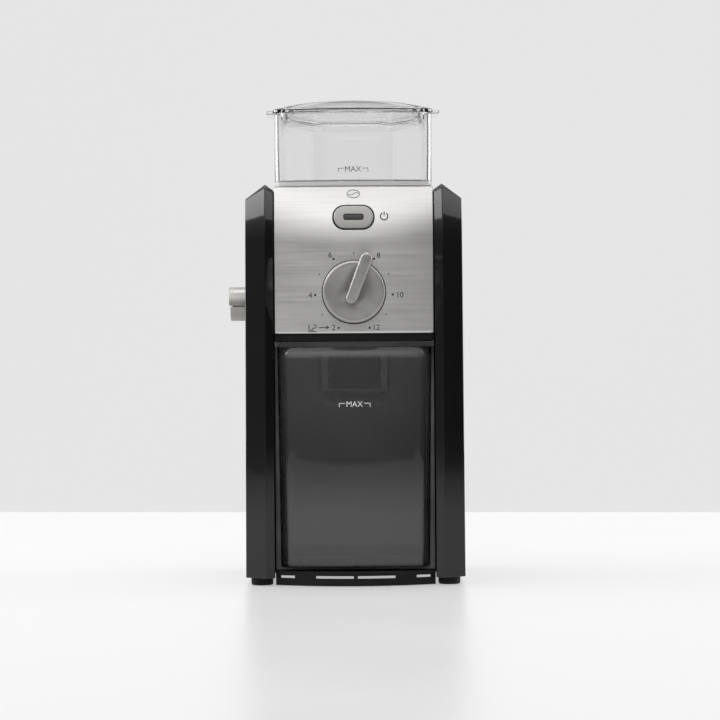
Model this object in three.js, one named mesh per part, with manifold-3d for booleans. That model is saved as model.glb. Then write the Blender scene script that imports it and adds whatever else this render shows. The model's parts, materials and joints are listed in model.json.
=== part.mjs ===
// Burr coffee grinder for the kitchen counter. Millimetres, +Z up, the front faces -Y.
// The origin lies under the middle of the whole machine, on the plane its feet stand on.
import * as THREE from 'three';
import { mergeVertices } from 'three/addons/utils/BufferGeometryUtils.js';
import Module from 'manifold-3d';

const wasm = await Module();
wasm.setup();

// ---------------------------------------------------------------- driving dimensions
const GAP = 0.3;                  // clearance between neighbouring parts

const HALF_WIDTH = 59.6;          // middle of the body to the side panels' outer faces
const KNOB_REACH = 71.4;          // middle of the body to the face of the side knob
const BODY_SHIFT = (KNOB_REACH - HALF_WIDTH) / 2;

const RIDGE_Y = -64.5;            // front ridge of the side panels
const BACK_Y = 76;                // rear edge of the side panels
const PANEL_BOTTOM = 4.4;
const PANEL_TOP = 218.2;
const BEND_Z = 186;               // the front is upright below this and curves back above
const BEND_RADIUS = 58;
const RIDGE_X = 48.3;
const PANEL_INNER_X = 43.6;
const OUTER_BEVEL = 8;            // how far the outer face is set in from the ridge outline
const INNER_FACET = 3.3;
const PANEL_DRAFT = 0.7;          // the outer faces lean in by this much at the top
const PANEL_WALL = 3;

const FRONT_HALF = 43.3;          // half width of all that sits between the side panels
const FRONT_BOW = 7;              // the middle of the front stands forward of its edges
const SHEET = 1.2;
const FASCIA_BOTTOM = 136.8;
const FASCIA_TOP = 216.3;
const FRONT_EDGE_Y = RIDGE_Y + INNER_FACET + 0.2;

const BAY_FLOOR = 9.4;            // the container stands on this
const BAY_CEILING = 133;
const BAY_BACK_Y = -3;
const CONTAINER_TOP = 132.3;
const CONTAINER_HALF_TOP = 41.3;
const CONTAINER_HALF_BOTTOM = 39.8;

const DECK_TOP = 216.8;
const HOPPER_HALF = 43.2;         // half width of the bean hopper at its rim
const HOPPER_DRAFT = 0.2;         // the walls draw in by this much from the rim to the shoulder
const LEDGE_INSET = 4;            // the part under the shoulder drops through the deck
const RIM_Z = 257.3;              // upper edge of the bean hopper
const LID_PEAK_Z = 266;

const BURR_Y = 28;                // upright axis of the burrs
const FINENESS_Z = 154.3;         // height of the side knob's axis
const MOTOR_Y = 46;
const GEAR_MODULE = 1;

// ---------------------------------------------------------------- solids and booleans
const X_AXIS = new THREE.Vector3(1, 0, 0);
const Y_AXIS = new THREE.Vector3(0, 1, 0);
const Z_AXIS = new THREE.Vector3(0, 0, 1);

function toSolid(geometry) {
  const bare = geometry.clone();
  bare.deleteAttribute('normal');
  bare.deleteAttribute('uv');
  const merged = mergeVertices(bare, 1e-4);
  return new wasm.Manifold(new wasm.Mesh({
    numProp: 3,
    vertProperties: new Float32Array(merged.attributes.position.array),
    triVerts: new Uint32Array(merged.index.array),
  }));
}

function toGeometry(solid) {
  const mesh = solid.getMesh();
  const geometry = new THREE.BufferGeometry();
  geometry.setAttribute('position', new THREE.BufferAttribute(mesh.vertProperties, 3));
  geometry.setIndex(new THREE.BufferAttribute(mesh.triVerts, 1));
  return geometry;
}

function join(first, ...others) {
  return toGeometry(others.reduce((solid, other) => solid.add(toSolid(other)), toSolid(first)));
}

function cut(body, ...tools) {
  return toGeometry(tools.reduce((solid, tool) => solid.subtract(toSolid(tool)), toSolid(body)));
}

function box(x0, x1, y0, y1, z0, z1) {
  const geometry = new THREE.BoxGeometry(x1 - x0, y1 - y0, z1 - z0);
  return geometry.translate((x0 + x1) / 2, (y0 + y1) / 2, (z0 + z1) / 2);
}

// A turned part: the profile lists radius and height, and starts and ends on the axis.
function turned(profile, segments = 20) {
  const points = profile.map(([radius, height]) => new THREE.Vector2(radius, height));
  const solid = new THREE.LatheGeometry(points, segments);
  return solid.rotateX(Math.PI / 2);
}

function cylinder(radius, z0, z1, segments = 20) {
  return turned([[0, z0], [radius, z0], [radius, z1], [0, z1]], segments);
}

function ring(inner, outer, z0, z1, segments = 20) {
  return turned([[inner, z0], [outer, z0], [outer, z1], [inner, z1], [inner, z0]], segments);
}

// Lays an upright turned part along +X, or along -Y so that its top faces forward.
const alongX = (geometry) => geometry.rotateY(Math.PI / 2);
const towardsFront = (geometry) => geometry.rotateX(Math.PI / 2);

// Extrudes an outline drawn in (y, z) from x0 to x1.
function extrudeAcross(shape, x0, x1, curveSegments = 6) {
  const geometry = new THREE.ExtrudeGeometry(shape, { depth: x1 - x0, bevelEnabled: false, curveSegments });
  geometry.applyMatrix4(new THREE.Matrix4().makeBasis(Y_AXIS, Z_AXIS, X_AXIS));
  return geometry.translate(x0, 0, 0);
}

// Extrudes an outline drawn in (x, z) from y0 back to y1.
function extrudeBack(shape, y0, y1, curveSegments = 6) {
  const geometry = new THREE.ExtrudeGeometry(shape, { depth: y1 - y0, bevelEnabled: false, curveSegments });
  geometry.applyMatrix4(new THREE.Matrix4().makeBasis(X_AXIS, Z_AXIS, Y_AXIS.clone().negate()));
  return geometry.translate(0, y1, 0);
}

function extrudeUp(shape, z0, z1, curveSegments = 6) {
  const geometry = new THREE.ExtrudeGeometry(shape, { depth: z1 - z0, bevelEnabled: false, curveSegments });
  return geometry.translate(0, 0, z0);
}

function roundedRectangle(width, height, radius) {
  const w = width / 2;
  const h = height / 2;
  const r = Math.min(radius, w, h);
  const shape = new THREE.Shape();
  shape.moveTo(-w + r, -h);
  shape.lineTo(w - r, -h);
  shape.absarc(w - r, -h + r, r, -Math.PI / 2, 0);
  shape.lineTo(w, h - r);
  shape.absarc(w - r, h - r, r, 0, Math.PI / 2);
  shape.lineTo(-w + r, h);
  shape.absarc(-w + r, h - r, r, Math.PI / 2, Math.PI);
  shape.lineTo(-w, -h + r);
  shape.absarc(-w + r, -h + r, r, Math.PI, 1.5 * Math.PI);
  return shape;
}

function polygon(points) {
  return new THREE.Shape(points.map(([u, v]) => new THREE.Vector2(u, v)));
}

// Moves every vertex of a geometry by a function that changes the vector it is given.
function warp(geometry, move) {
  const position = geometry.attributes.position;
  const v = new THREE.Vector3();
  for (let i = 0; i < position.count; i += 1) {
    v.fromBufferAttribute(position, i);
    move(v);
    position.setXYZ(i, v.x, v.y, v.z);
  }
  return geometry;
}

// Skins a row of rings that all have the same number of points, and closes both ends.
// endPlane names the two coordinates that the end rings are drawn in.
function loft(rings, endPlane) {
  const count = rings[0].length;
  const lastStart = (rings.length - 1) * count;
  const flat = (points) => points.map((p) => new THREE.Vector2(p[endPlane[0]], p[endPlane[1]]));
  const triangles = [];
  for (let level = 0; level + 1 < rings.length; level += 1) {
    for (let i = 0; i < count; i += 1) {
      const a = level * count + i;
      const b = level * count + ((i + 1) % count);
      triangles.push([a, b, b + count], [a, b + count, a + count]);
    }
  }
  const turn = THREE.ShapeUtils.isClockWise(flat(rings[0])) ? -1 : 1;
  for (const face of THREE.ShapeUtils.triangulateShape(flat(rings[0]), [])) {
    triangles.push(turn > 0 ? [face[2], face[1], face[0]] : face);
  }
  for (const face of THREE.ShapeUtils.triangulateShape(flat(rings[rings.length - 1]), [])) {
    const shifted = face.map((i) => i + lastStart);
    triangles.push(turn > 0 ? shifted : shifted.reverse());
  }
  const points = rings.flat();
  const volume = triangles.reduce((sum, [a, b, c]) => {
    return sum + points[a].dot(new THREE.Vector3().crossVectors(points[b], points[c]));
  }, 0);
  const outward = volume > 0 ? triangles : triangles.map(([a, b, c]) => [c, b, a]);
  const geometry = new THREE.BufferGeometry();
  geometry.setAttribute('position', new THREE.Float32BufferAttribute(points.flatMap((p) => p.toArray()), 3));
  geometry.setIndex(outward.flat());
  return geometry;
}

// ---------------------------------------------------------------- shared outlines
// Side view of the body, as (y, z) points, set in by the given amount except at the bottom.
function panelOutline(inset) {
  const centreY = RIDGE_Y + BEND_RADIUS;
  const bendRadius = BEND_RADIUS - inset;
  const topRadius = Math.max(6 - inset, 1.5);
  const backRadius = Math.max(7 - inset, 2);
  const top = PANEL_TOP - inset;
  const topCentreZ = top - topRadius;
  const reach = bendRadius - topRadius;
  const topCentreY = centreY - Math.sqrt(reach ** 2 - (topCentreZ - BEND_Z) ** 2);
  const lean = Math.asin((topCentreZ - BEND_Z) / reach);
  const back = BACK_Y - inset;
  const shape = new THREE.Path();
  shape.moveTo(RIDGE_Y + inset, PANEL_BOTTOM);
  shape.lineTo(RIDGE_Y + inset, BEND_Z);
  shape.absarc(centreY, BEND_Z, bendRadius, Math.PI, Math.PI - lean, true);
  shape.absarc(topCentreY, topCentreZ, topRadius, Math.PI - lean, Math.PI / 2, true);
  shape.absarc(back - backRadius, top - backRadius, backRadius, Math.PI / 2, 0, true);
  shape.lineTo(back, PANEL_BOTTOM);
  return shape;
}

// Height of the fascia's surface from front to back, at its side edges.
function fasciaEdgeY(z) {
  if (z <= BEND_Z) return FRONT_EDGE_Y;
  const radius = BEND_RADIUS - (FRONT_EDGE_Y - RIDGE_Y);
  return RIDGE_Y + BEND_RADIUS - Math.sqrt(radius ** 2 - (z - BEND_Z) ** 2);
}

// How far the front stands forward of its side edges, less where it curves back.
function bow(x, z) {
  const fade = 1 - 0.45 * Math.max(0, (z - BEND_Z) / (FASCIA_TOP - BEND_Z));
  return FRONT_BOW * fade * (1 - (x / FRONT_HALF) ** 2);
}

const fasciaY = (x, z) => fasciaEdgeY(z) - bow(x, z);

// A sheet that follows the fascia's surface between two depths behind it, from z0 to z1.
// One row of facets covers the upright part and the others share the bend.
function fasciaLayer(z0, z1, front, back) {
  const across = 10;
  const rows = 8;
  const slab = new THREE.BoxGeometry(2 * FRONT_HALF, 2, rows, across, 1, rows).translate(0, 0, rows / 2);
  return warp(slab, (v) => {
    const bendShare = (v.z - 1) / (rows - 1);
    v.z = v.z < 1 ? z0 : BEND_Z + bendShare * (z1 - BEND_Z);
    v.y = fasciaY(v.x, v.z) + (v.y < 0 ? front : back);
  });
}

// Plan of the bean hopper, as (x, y) points: bowed front, sides that close in, narrow back.
function hopperPlan(inset) {
  const frontHalf = HOPPER_HALF - inset;
  const backHalf = 19 - inset * 0.6;
  const frontY = -45.5 + inset;
  const sideY = 0;
  const backY = 49 - inset;
  const corner = Math.max(6 - inset * 0.5, 2);
  const path = new THREE.Path();
  path.moveTo(-frontHalf, frontY + corner);
  path.quadraticCurveTo(-frontHalf, frontY, -frontHalf + corner, frontY - 1.4);
  path.quadraticCurveTo(0, frontY - 9.6, frontHalf - corner, frontY - 1.4);
  path.quadraticCurveTo(frontHalf, frontY, frontHalf, frontY + corner);
  path.lineTo(frontHalf - 1.5, sideY);
  path.quadraticCurveTo(frontHalf - 3.5, sideY + 9, backHalf + 5, backY - 6);
  path.quadraticCurveTo(backHalf, backY, backHalf - 6, backY);
  path.lineTo(-backHalf + 6, backY);
  path.quadraticCurveTo(-backHalf, backY, -backHalf - 5, backY - 6);
  path.quadraticCurveTo(-frontHalf + 3.5, sideY + 9, -frontHalf + 1.5, sideY);
  return path;
}

function planRing(path, z, divisions = 3) {
  const points = path.getPoints(divisions);
  const ringPoints = points.filter((p, i) => i === 0 || p.distanceTo(points[i - 1]) > 1e-4);
  return ringPoints.map((p) => new THREE.Vector3(p.x, p.y, z));
}

function solidFromPlan(inset0, z0, inset1, z1) {
  return loft([planRing(hopperPlan(inset0), z0), planRing(hopperPlan(inset1), z1)], ['x', 'y']);
}

// ---------------------------------------------------------------- the model
const model = new THREE.Group();
model.position.x = BODY_SHIFT;

const finishes = {
  glossBlack: { color: 0x17171a, roughness: 0.25, metalness: 0 },
  matteBlack: { color: 0x1c1c1e, roughness: 0.7, metalness: 0 },
  greyPlastic: { color: 0x4a4a4c, roughness: 0.6, metalness: 0 },
  brushedSteel: { color: 0xb6b6b4, roughness: 0.35, metalness: 1 },
  satinSilver: { color: 0xa9a9a7, roughness: 0.4, metalness: 0.6 },
  steel: { color: 0x8d9094, roughness: 0.35, metalness: 1 },
  castSteel: { color: 0x6f7276, roughness: 0.5, metalness: 1 },
  copper: { color: 0xa0622f, roughness: 0.4, metalness: 0.9 },
  clear: { color: 0xf2f2f2, roughness: 0.05, metalness: 0 },
  smoked: { color: 0x3c3c3e, roughness: 0.15, metalness: 0 },
  lens: { color: 0x2b2b2e, roughness: 0.2, metalness: 0 },
  rubber: { color: 0x101010, roughness: 0.9, metalness: 0 },
  nylon: { color: 0xd8d4c8, roughness: 0.5, metalness: 0 },
  board: { color: 0x1f5a36, roughness: 0.5, metalness: 0 },
};

function add(name, geometry, finish, parent = model) {
  const mesh = new THREE.Mesh(geometry, new THREE.MeshStandardMaterial(finishes[finish]));
  mesh.name = name;
  parent.add(mesh);
  return mesh;
}

// ---------------------------------------------------------------- casing
// A bevelled slab like a picture frame, hollowed from the inside. side is -1 or +1.
function sidePanel(side) {
  const layers = [
    { x: PANEL_INNER_X, inset: INNER_FACET },
    { x: RIDGE_X, inset: 0 },
    { x: HALF_WIDTH, inset: OUTER_BEVEL },
  ];
  const rings = layers.map(({ x, inset }) => {
    return panelOutline(inset).getPoints(5).map((p) => {
      const share = (x - PANEL_INNER_X) / (HALF_WIDTH - PANEL_INNER_X);
      const lean = PANEL_DRAFT * share * (p.y - PANEL_BOTTOM) / (PANEL_TOP - PANEL_BOTTOM);
      return new THREE.Vector3(side * (x - lean), p.x, p.y);
    });
  });
  const slab = loft(rings, ['y', 'z']);
  const pocket = panelOutline(OUTER_BEVEL + PANEL_WALL);
  const pocketShape = new THREE.Shape(pocket.getPoints(5));
  const pocketDepth = HALF_WIDTH - PANEL_WALL;
  const inner = PANEL_INNER_X - 1;
  const tool = side > 0
    ? extrudeAcross(pocketShape, inner, pocketDepth)
    : extrudeAcross(pocketShape, -pocketDepth, -inner);
  const raised = tool.translate(0, 0, PANEL_WALL);
  const footHoles = footPlaces(side).map(([x, y]) => {
    return cylinder(FOOT_STEM + GAP, 0, PANEL_BOTTOM + FOOT_STEM_HEIGHT + GAP, 16).translate(x, y, 0);
  });
  return cut(slab, raised, ...footHoles);
}

const FOOT_X = 51;
const FOOT_RADIUS = 6;
const FOOT_STEM = 2.2;
const FOOT_STEM_HEIGHT = 1.6;
const FRONT_FOOT_Y = -49;
const BACK_FOOT_Y = 60;

function footPlaces(side) {
  return [[side * FOOT_X, FRONT_FOOT_Y], [side * FOOT_X, BACK_FOOT_Y]];
}

// A soft pad with a chamfered rim and a stem that plugs into the panel's underside.
function foot() {
  const top = PANEL_BOTTOM - GAP;
  const stemTop = PANEL_BOTTOM + FOOT_STEM_HEIGHT;
  return turned([[0, 0], [FOOT_RADIUS - 0.4, 0], [FOOT_RADIUS, top],
    [FOOT_STEM, top], [FOOT_STEM, stemTop], [0, stemTop]], 16);
}

const FINENESS_HOLE = 5.2;

const leftPanel = cut(
  sidePanel(-1),
  alongX(cylinder(FINENESS_HOLE, -HALF_WIDTH - 2, -PANEL_INNER_X, 20)).translate(0, BURR_Y, FINENESS_Z),
);
add('left_side_panel', leftPanel, 'glossBlack');
add('right_side_panel', sidePanel(1), 'glossBlack');

for (const [side, sideName] of [[-1, 'left'], [1, 'right']]) {
  footPlaces(side).forEach(([x, y], i) => {
    add(`foot_${i === 0 ? 'front' : 'rear'}_${sideName}`, foot(), 'rubber').position.set(x, y, 0);
  });
}

// ---------------------------------------------------------------- front controls
const BUTTON_Z = 199.4;
const BUTTON_WIDTH = 21.4;
const BUTTON_HEIGHT = 12.8;
const BUTTON_RADIUS = 6;
const BUTTON_SLOT = 0.75;
const BUTTON_LEAN = Math.asin((BUTTON_Z - BEND_Z) / (BEND_RADIUS - INNER_FACET));
const LENS_WIDTH = 10.6;
const LENS_HEIGHT = 3.1;
const KNOB_Z = 158.9;
const KNOB_RADIUS = 16.8;
const KNOB_REST = THREE.MathUtils.degToRad(21);

// A group whose local -Y is square to the leaning fascia at the button's middle.
const buttonFrame = new THREE.Group();
buttonFrame.position.set(0, fasciaY(0, BUTTON_Z), BUTTON_Z);
buttonFrame.rotation.x = -BUTTON_LEAN;
model.add(buttonFrame);

function intoButtonFrame(geometry) {
  return geometry.rotateX(-BUTTON_LEAN).translate(0, fasciaY(0, BUTTON_Z), BUTTON_Z);
}

function buttonTool(clearance, front, back) {
  const outline = roundedRectangle(
    BUTTON_WIDTH + 2 * clearance, BUTTON_HEIGHT + 2 * clearance, BUTTON_RADIUS + clearance);
  return extrudeBack(outline, front, back);
}

const SHAFT_HOLE = 4.2;
const knobShaftHole = () => towardsFront(cylinder(SHAFT_HOLE, 50, 80, 20)).translate(0, 0, KNOB_Z);

const fascia = cut(
  fasciaLayer(FASCIA_BOTTOM, FASCIA_TOP, 0, SHEET),
  intoButtonFrame(buttonTool(BUTTON_SLOT, -6, 8)),
  knobShaftHole(),
);
add('front_fascia', fascia, 'brushedSteel');

// Black moulding behind the steel sheet, which shows as the dark band under it.
const CARRIER_BOTTOM = 132.7;
const CARRIER_THICKNESS = 2.4;
const carrier = cut(
  fasciaLayer(CARRIER_BOTTOM, FASCIA_TOP - 3, SHEET + GAP, SHEET + GAP + CARRIER_THICKNESS),
  intoButtonFrame(buttonTool(BUTTON_SLOT, -6, 12)),
  knobShaftHole(),
);
add('fascia_carrier', carrier, 'matteBlack');

const lensOutline = (clearance) => roundedRectangle(
  LENS_WIDTH + 2 * clearance, LENS_HEIGHT + 2 * clearance, LENS_HEIGHT / 2 + clearance);
const button = cut(
  join(buttonTool(0, -1.3, 4.6), buttonTool(-2.5, 4, 7)),
  extrudeBack(lensOutline(GAP / 2 + 0.1), -3, 10, 5),
);
add('power_button', button, 'satinSilver', buttonFrame);
add('power_lens', extrudeBack(lensOutline(-0.1), -1.1, 6.4, 5), 'lens', buttonFrame);

const SWITCH_FRONT = 9.4;
add('power_switch', join(
  box(-8, 8, SWITCH_FRONT + 2, SWITCH_FRONT + 12, -5, 5),
  box(-3, 3, SWITCH_FRONT, SWITCH_FRONT + 3, -2, 2),
), 'matteBlack', buttonFrame);

// The number-of-cups knob: a disc with a raised bar across it that overhangs its rim.
const KNOB_FACE_Y = fasciaY(0, KNOB_Z);
const KNOB_BACK = 0.6;
const KNOB_DISC = 7.6;
const KNOB_HEIGHT = 13.5;
const GRIP_WIDTH = 7;
const GRIP_INNER = -7;
const GRIP_OUTER = 22.3;
const KNOB_BORE = 3.05;

function cupKnob() {
  const disc = turned([[0, KNOB_BACK], [KNOB_RADIUS - 0.6, KNOB_BACK], [KNOB_RADIUS, KNOB_BACK + 0.8],
    [KNOB_RADIUS, KNOB_DISC - 1.6], [KNOB_RADIUS - 1.4, KNOB_DISC], [0, KNOB_DISC - 1.2]], 32);
  const length = GRIP_OUTER - GRIP_INNER;
  const outline = roundedRectangle(GRIP_WIDTH, length, GRIP_WIDTH / 2);
  const grip = extrudeUp(outline, KNOB_BACK + 1.6, KNOB_HEIGHT, 6).translate(0, (GRIP_INNER + GRIP_OUTER) / 2, 0);
  const tapered = warp(grip, (v) => {
    if (v.z > KNOB_DISC) v.x *= 0.86;
  });
  const bore = cylinder(KNOB_BORE, -1, KNOB_DISC - 2.6, 16);
  return cut(join(disc, tapered), bore);
}

const knob = add('cup_selector_knob', towardsFront(cupKnob().rotateZ(-KNOB_REST)), 'satinSilver');
knob.position.set(0, KNOB_FACE_Y, KNOB_Z);

const POT_FRONT = -54.5;
add('cup_selector_dial_switch', towardsFront(join(
  cylinder(10, 38, -POT_FRONT, 20),
  cylinder(3.9, -POT_FRONT - 1, -POT_FRONT + 4, 16),
)).translate(0, 0, KNOB_Z), 'steel');
add('cup_selector_shaft', towardsFront(
  cylinder(2.7, -POT_FRONT + 4 + GAP, -KNOB_FACE_Y + KNOB_DISC - 3, 14),
).translate(0, 0, KNOB_Z), 'steel');

add('control_board', box(-36, 36, -37.3, -35.6, 138, 178), 'board');

// ---------------------------------------------------------------- container bay
const BAY_WALL_TOP = CONTAINER_HALF_TOP + 0.5;
const BAY_WALL_BOTTOM = CONTAINER_HALF_BOTTOM + 0.5;
const BAY_FRONT_Y = -56.7;
const BAY_SHELL_BOTTOM = 8.6;
const CHUTE_HALF = 14.6;
const CHUTE_BOTTOM = 106.2;
const CHUTE_TOP = 126.2;

const bayCavity = extrudeBack(polygon([
  [-BAY_WALL_BOTTOM, BAY_FLOOR + 0.6], [BAY_WALL_BOTTOM, BAY_FLOOR + 0.6],
  [BAY_WALL_TOP, BAY_CEILING], [-BAY_WALL_TOP, BAY_CEILING],
]), BAY_FRONT_Y - 10, BAY_BACK_Y);
const bayWindow = box(-CHUTE_HALF - GAP, CHUTE_HALF + GAP, BAY_BACK_Y - 1, 5,
  CHUTE_BOTTOM - GAP, CHUTE_TOP + GAP);
add('bay_liner', cut(
  box(-FRONT_HALF, FRONT_HALF, BAY_FRONT_Y, BAY_BACK_Y + 2, BAY_SHELL_BOTTOM, BAY_CEILING + 2),
  bayCavity,
  bayWindow,
), 'greyPlastic');

// The lower front of a bowed bar: front face from the bow, square back.
function bowedBar(halfWidth, middleY, bowDepth, backY, z0, z1) {
  const bar = new THREE.BoxGeometry(2 * halfWidth, 2, z1 - z0, 10, 1, 1).translate(0, 0, (z0 + z1) / 2);
  return warp(bar, (v) => {
    v.y = v.y < 0 ? middleY + bowDepth * (v.x / FRONT_HALF) ** 2 : backY(v.x);
  });
}

const BASE_BOTTOM = 5.9;
const BASE_TOP = BAY_SHELL_BOTTOM - GAP;
const BASE_MIDDLE_Y = -67.6;
const BASE_BACK_Y = 69.4;
const LIP_MIDDLE_Y = -69.4;
const LIP_BOW = 12;
const LIP_THICKNESS = 2.2;
const LIP_BOTTOM = 0.5;
const LIP_TOP = 4.3;

// The floor of the machine, with a low bowed lip hung under its front edge on ribs.
function basePlate() {
  const plate = bowedBar(FRONT_HALF, BASE_MIDDLE_Y, 9, () => BASE_BACK_Y, BASE_BOTTOM, BASE_TOP);
  const lipBack = (x) => LIP_MIDDLE_Y + LIP_BOW * (x / FRONT_HALF) ** 2 + LIP_THICKNESS;
  const lip = bowedBar(FRONT_HALF, LIP_MIDDLE_Y, LIP_BOW, lipBack, LIP_BOTTOM, LIP_TOP);
  const hang = bowedBar(FRONT_HALF, LIP_MIDDLE_Y + 0.3, LIP_BOW, (x) => lipBack(x) + 1.4, LIP_TOP - 0.4, BASE_BOTTOM + 0.4);
  const spans = [[-40.5, -33], [-21.4, -1.1], [1.1, 21.4], [33, 40.5]];
  const slots = spans.map(([x0, x1]) => box(x0, x1, -80, -40, LIP_TOP, BASE_BOTTOM));
  return join(plate, lip, cut(hang, ...slots));
}
const BASE_SCREWS = [[-30, 24], [30, 24], [-30, 64], [30, 64]];
const SCREW_SHANK = 1.5;
const SCREW_HOLE = SCREW_SHANK + 0.4;
const FAN_SLOT_OFFSETS = [-12, -4, 4, 12];
add('base_plate', cut(
  basePlate(),
  ...BASE_SCREWS.map(([x, y]) => cylinder(SCREW_HOLE, 0, 20, 12).translate(x, y, 0)),
  ...FAN_SLOT_OFFSETS.map((offset) => box(-16, 16, MOTOR_Y + offset - 1.6, MOTOR_Y + offset + 1.6, 0, 20)),
), 'matteBlack');

// A pan-head screw standing upright with its head at the bottom.
function screw(headRadius, headHeight, length) {
  return turned([[0, 0], [headRadius - 0.5, 0], [headRadius, 0.5], [headRadius, headHeight],
    [SCREW_SHANK, headHeight], [SCREW_SHANK, length], [0, length]], 12);
}
BASE_SCREWS.forEach(([x, y], i) => {
  add(`base_screw_${i + 1}`, screw(2.8, 1.3, 8), 'steel').position.set(x, y, BASE_BOTTOM - GAP - 1.3);
});

// ---------------------------------------------------------------- grounds container
const CONTAINER_FRONT_Y = -67.8;
const CONTAINER_BACK_Y = BAY_BACK_Y - 2.6;
const CONTAINER_WALL = 1.8;
const CONTAINER_CORNER = 7;
const LID_FLANGE_BOTTOM = 129.5;
const CONTAINER_RIM = LID_FLANGE_BOTTOM - GAP;

// Plan of the container: bowed front, rounded corners, square back. Set in by a wall.
function containerPlan(halfWidth, wall) {
  const half = halfWidth - wall;
  const r = CONTAINER_CORNER - wall;
  const edgeY = CONTAINER_FRONT_Y + FRONT_BOW * (halfWidth / FRONT_HALF) ** 2;
  const front = edgeY + wall;
  const middle = CONTAINER_FRONT_Y + wall;
  const back = CONTAINER_BACK_Y - wall;
  const path = new THREE.Path();
  path.moveTo(-half, front + r);
  path.quadraticCurveTo(-half, front + 0.5, -half + r, front - 1.9);
  path.quadraticCurveTo(0, 2 * middle - front + 1.9, half - r, front - 1.9);
  path.quadraticCurveTo(half, front + 0.5, half, front + r);
  path.lineTo(half, back - 3);
  path.quadraticCurveTo(half, back, half - 3, back);
  path.lineTo(-half + 3, back);
  path.quadraticCurveTo(-half, back, -half, back - 3);
  return path;
}

function containerSolid(wall, z0, z1) {
  const halfAt = (z) => THREE.MathUtils.mapLinear(
    z, BAY_FLOOR, CONTAINER_TOP, CONTAINER_HALF_BOTTOM, CONTAINER_HALF_TOP);
  return loft([planRing(containerPlan(halfAt(z0), wall), z0), planRing(containerPlan(halfAt(z1), wall), z1)], ['x', 'y']);
}

const CONTAINER_FLOOR_Z = BAY_FLOOR + 0.9;
const INLET_HALF = 18.2;
const INLET_BOTTOM = 104.4;
add('grounds_container', cut(
  containerSolid(0, CONTAINER_FLOOR_Z, CONTAINER_RIM),
  containerSolid(CONTAINER_WALL, CONTAINER_FLOOR_Z + 2.2, CONTAINER_RIM + 3),
  box(-INLET_HALF, INLET_HALF, CONTAINER_BACK_Y - 5, CONTAINER_BACK_Y + 5, INLET_BOTTOM, CONTAINER_RIM + 3),
), 'smoked');

// A flat lid whose front bar spans the full width of the front, with a skirt inside the rim.
function containerLid() {
  const plate = containerSolid(0, LID_FLANGE_BOTTOM, CONTAINER_TOP);
  const bar = bowedBar(FRONT_HALF - 0.1, CONTAINER_FRONT_Y, FRONT_BOW, () => BAY_FRONT_Y - GAP,
    LID_FLANGE_BOTTOM, CONTAINER_TOP);
  const skirtOuter = containerSolid(CONTAINER_WALL + GAP, 124.2, LID_FLANGE_BOTTOM + 0.5);
  const skirtInner = containerSolid(CONTAINER_WALL + GAP + 1.5, 120, LID_FLANGE_BOTTOM);
  const notch = box(-INLET_HALF, INLET_HALF, CONTAINER_BACK_Y - 8, CONTAINER_BACK_Y, 120, LID_FLANGE_BOTTOM);
  return join(plate, bar, cut(skirtOuter, skirtInner, notch));
}
add('container_lid', containerLid(), 'smoked');

// ---------------------------------------------------------------- top deck, hopper and lid
const DECK_THICKNESS = 2.4;
const DECK_EDGE_Y = -49.6;
const DECK_BOW = 3.8;
const REAR_EDGE_Y = BACK_Y - INNER_FACET - 0.4;
const REAR_BOW = 3.5;
function deckPlan() {
  const shape = new THREE.Shape();
  shape.moveTo(-FRONT_HALF, DECK_EDGE_Y);
  shape.quadraticCurveTo(0, DECK_EDGE_Y - 2 * DECK_BOW, FRONT_HALF, DECK_EDGE_Y);
  shape.lineTo(FRONT_HALF, REAR_EDGE_Y);
  shape.quadraticCurveTo(0, REAR_EDGE_Y + 2 * REAR_BOW, -FRONT_HALF, REAR_EDGE_Y);
  return shape;
}
add('top_deck', cut(
  extrudeUp(deckPlan(), DECK_TOP - DECK_THICKNESS, DECK_TOP, 10),
  solidFromPlan(LEDGE_INSET - 0.6, DECK_TOP - 6, LEDGE_INSET - 0.6, DECK_TOP + 3),
), 'satinSilver');

const HOPPER_WALL = 2;
const THROAT_Z = 166.6;
const THROAT_RADIUS = 13.6;

// A ring of points on a circle, one for each point of a plan, at the same bearings.
function throatRing(plan, radius, z) {
  const centre = new THREE.Vector2(0, BURR_Y);
  const count = plan.length;
  return plan.map((_, i) => {
    const start = plan[0];
    const first = Math.atan2(start.y - centre.y, start.x - centre.x);
    const angle = first + (i / count) * 2 * Math.PI;
    return new THREE.Vector3(radius * Math.cos(angle), centre.y + radius * Math.sin(angle), z);
  });
}

function hopperSolid(wall, rimZ, throatZ) {
  const shoulder = DECK_TOP + GAP;
  const ledge = shoulder + (wall > 0 ? HOPPER_WALL : 0);
  const floorPlan = planRing(hopperPlan(LEDGE_INSET + wall), shoulder - 4);
  return loft([
    throatRing(floorPlan, THROAT_RADIUS - wall, throatZ),
    throatRing(floorPlan, THROAT_RADIUS - wall, THROAT_Z + 6),
    floorPlan,
    planRing(hopperPlan(LEDGE_INSET + wall), ledge),
    planRing(hopperPlan(HOPPER_DRAFT + wall), ledge + 0.01),
    planRing(hopperPlan(wall), rimZ),
  ], ['x', 'y']);
}
add('bean_hopper', cut(hopperSolid(0, RIM_Z, THROAT_Z), hopperSolid(HOPPER_WALL, RIM_Z + 3, THROAT_Z - 3)), 'clear');

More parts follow.
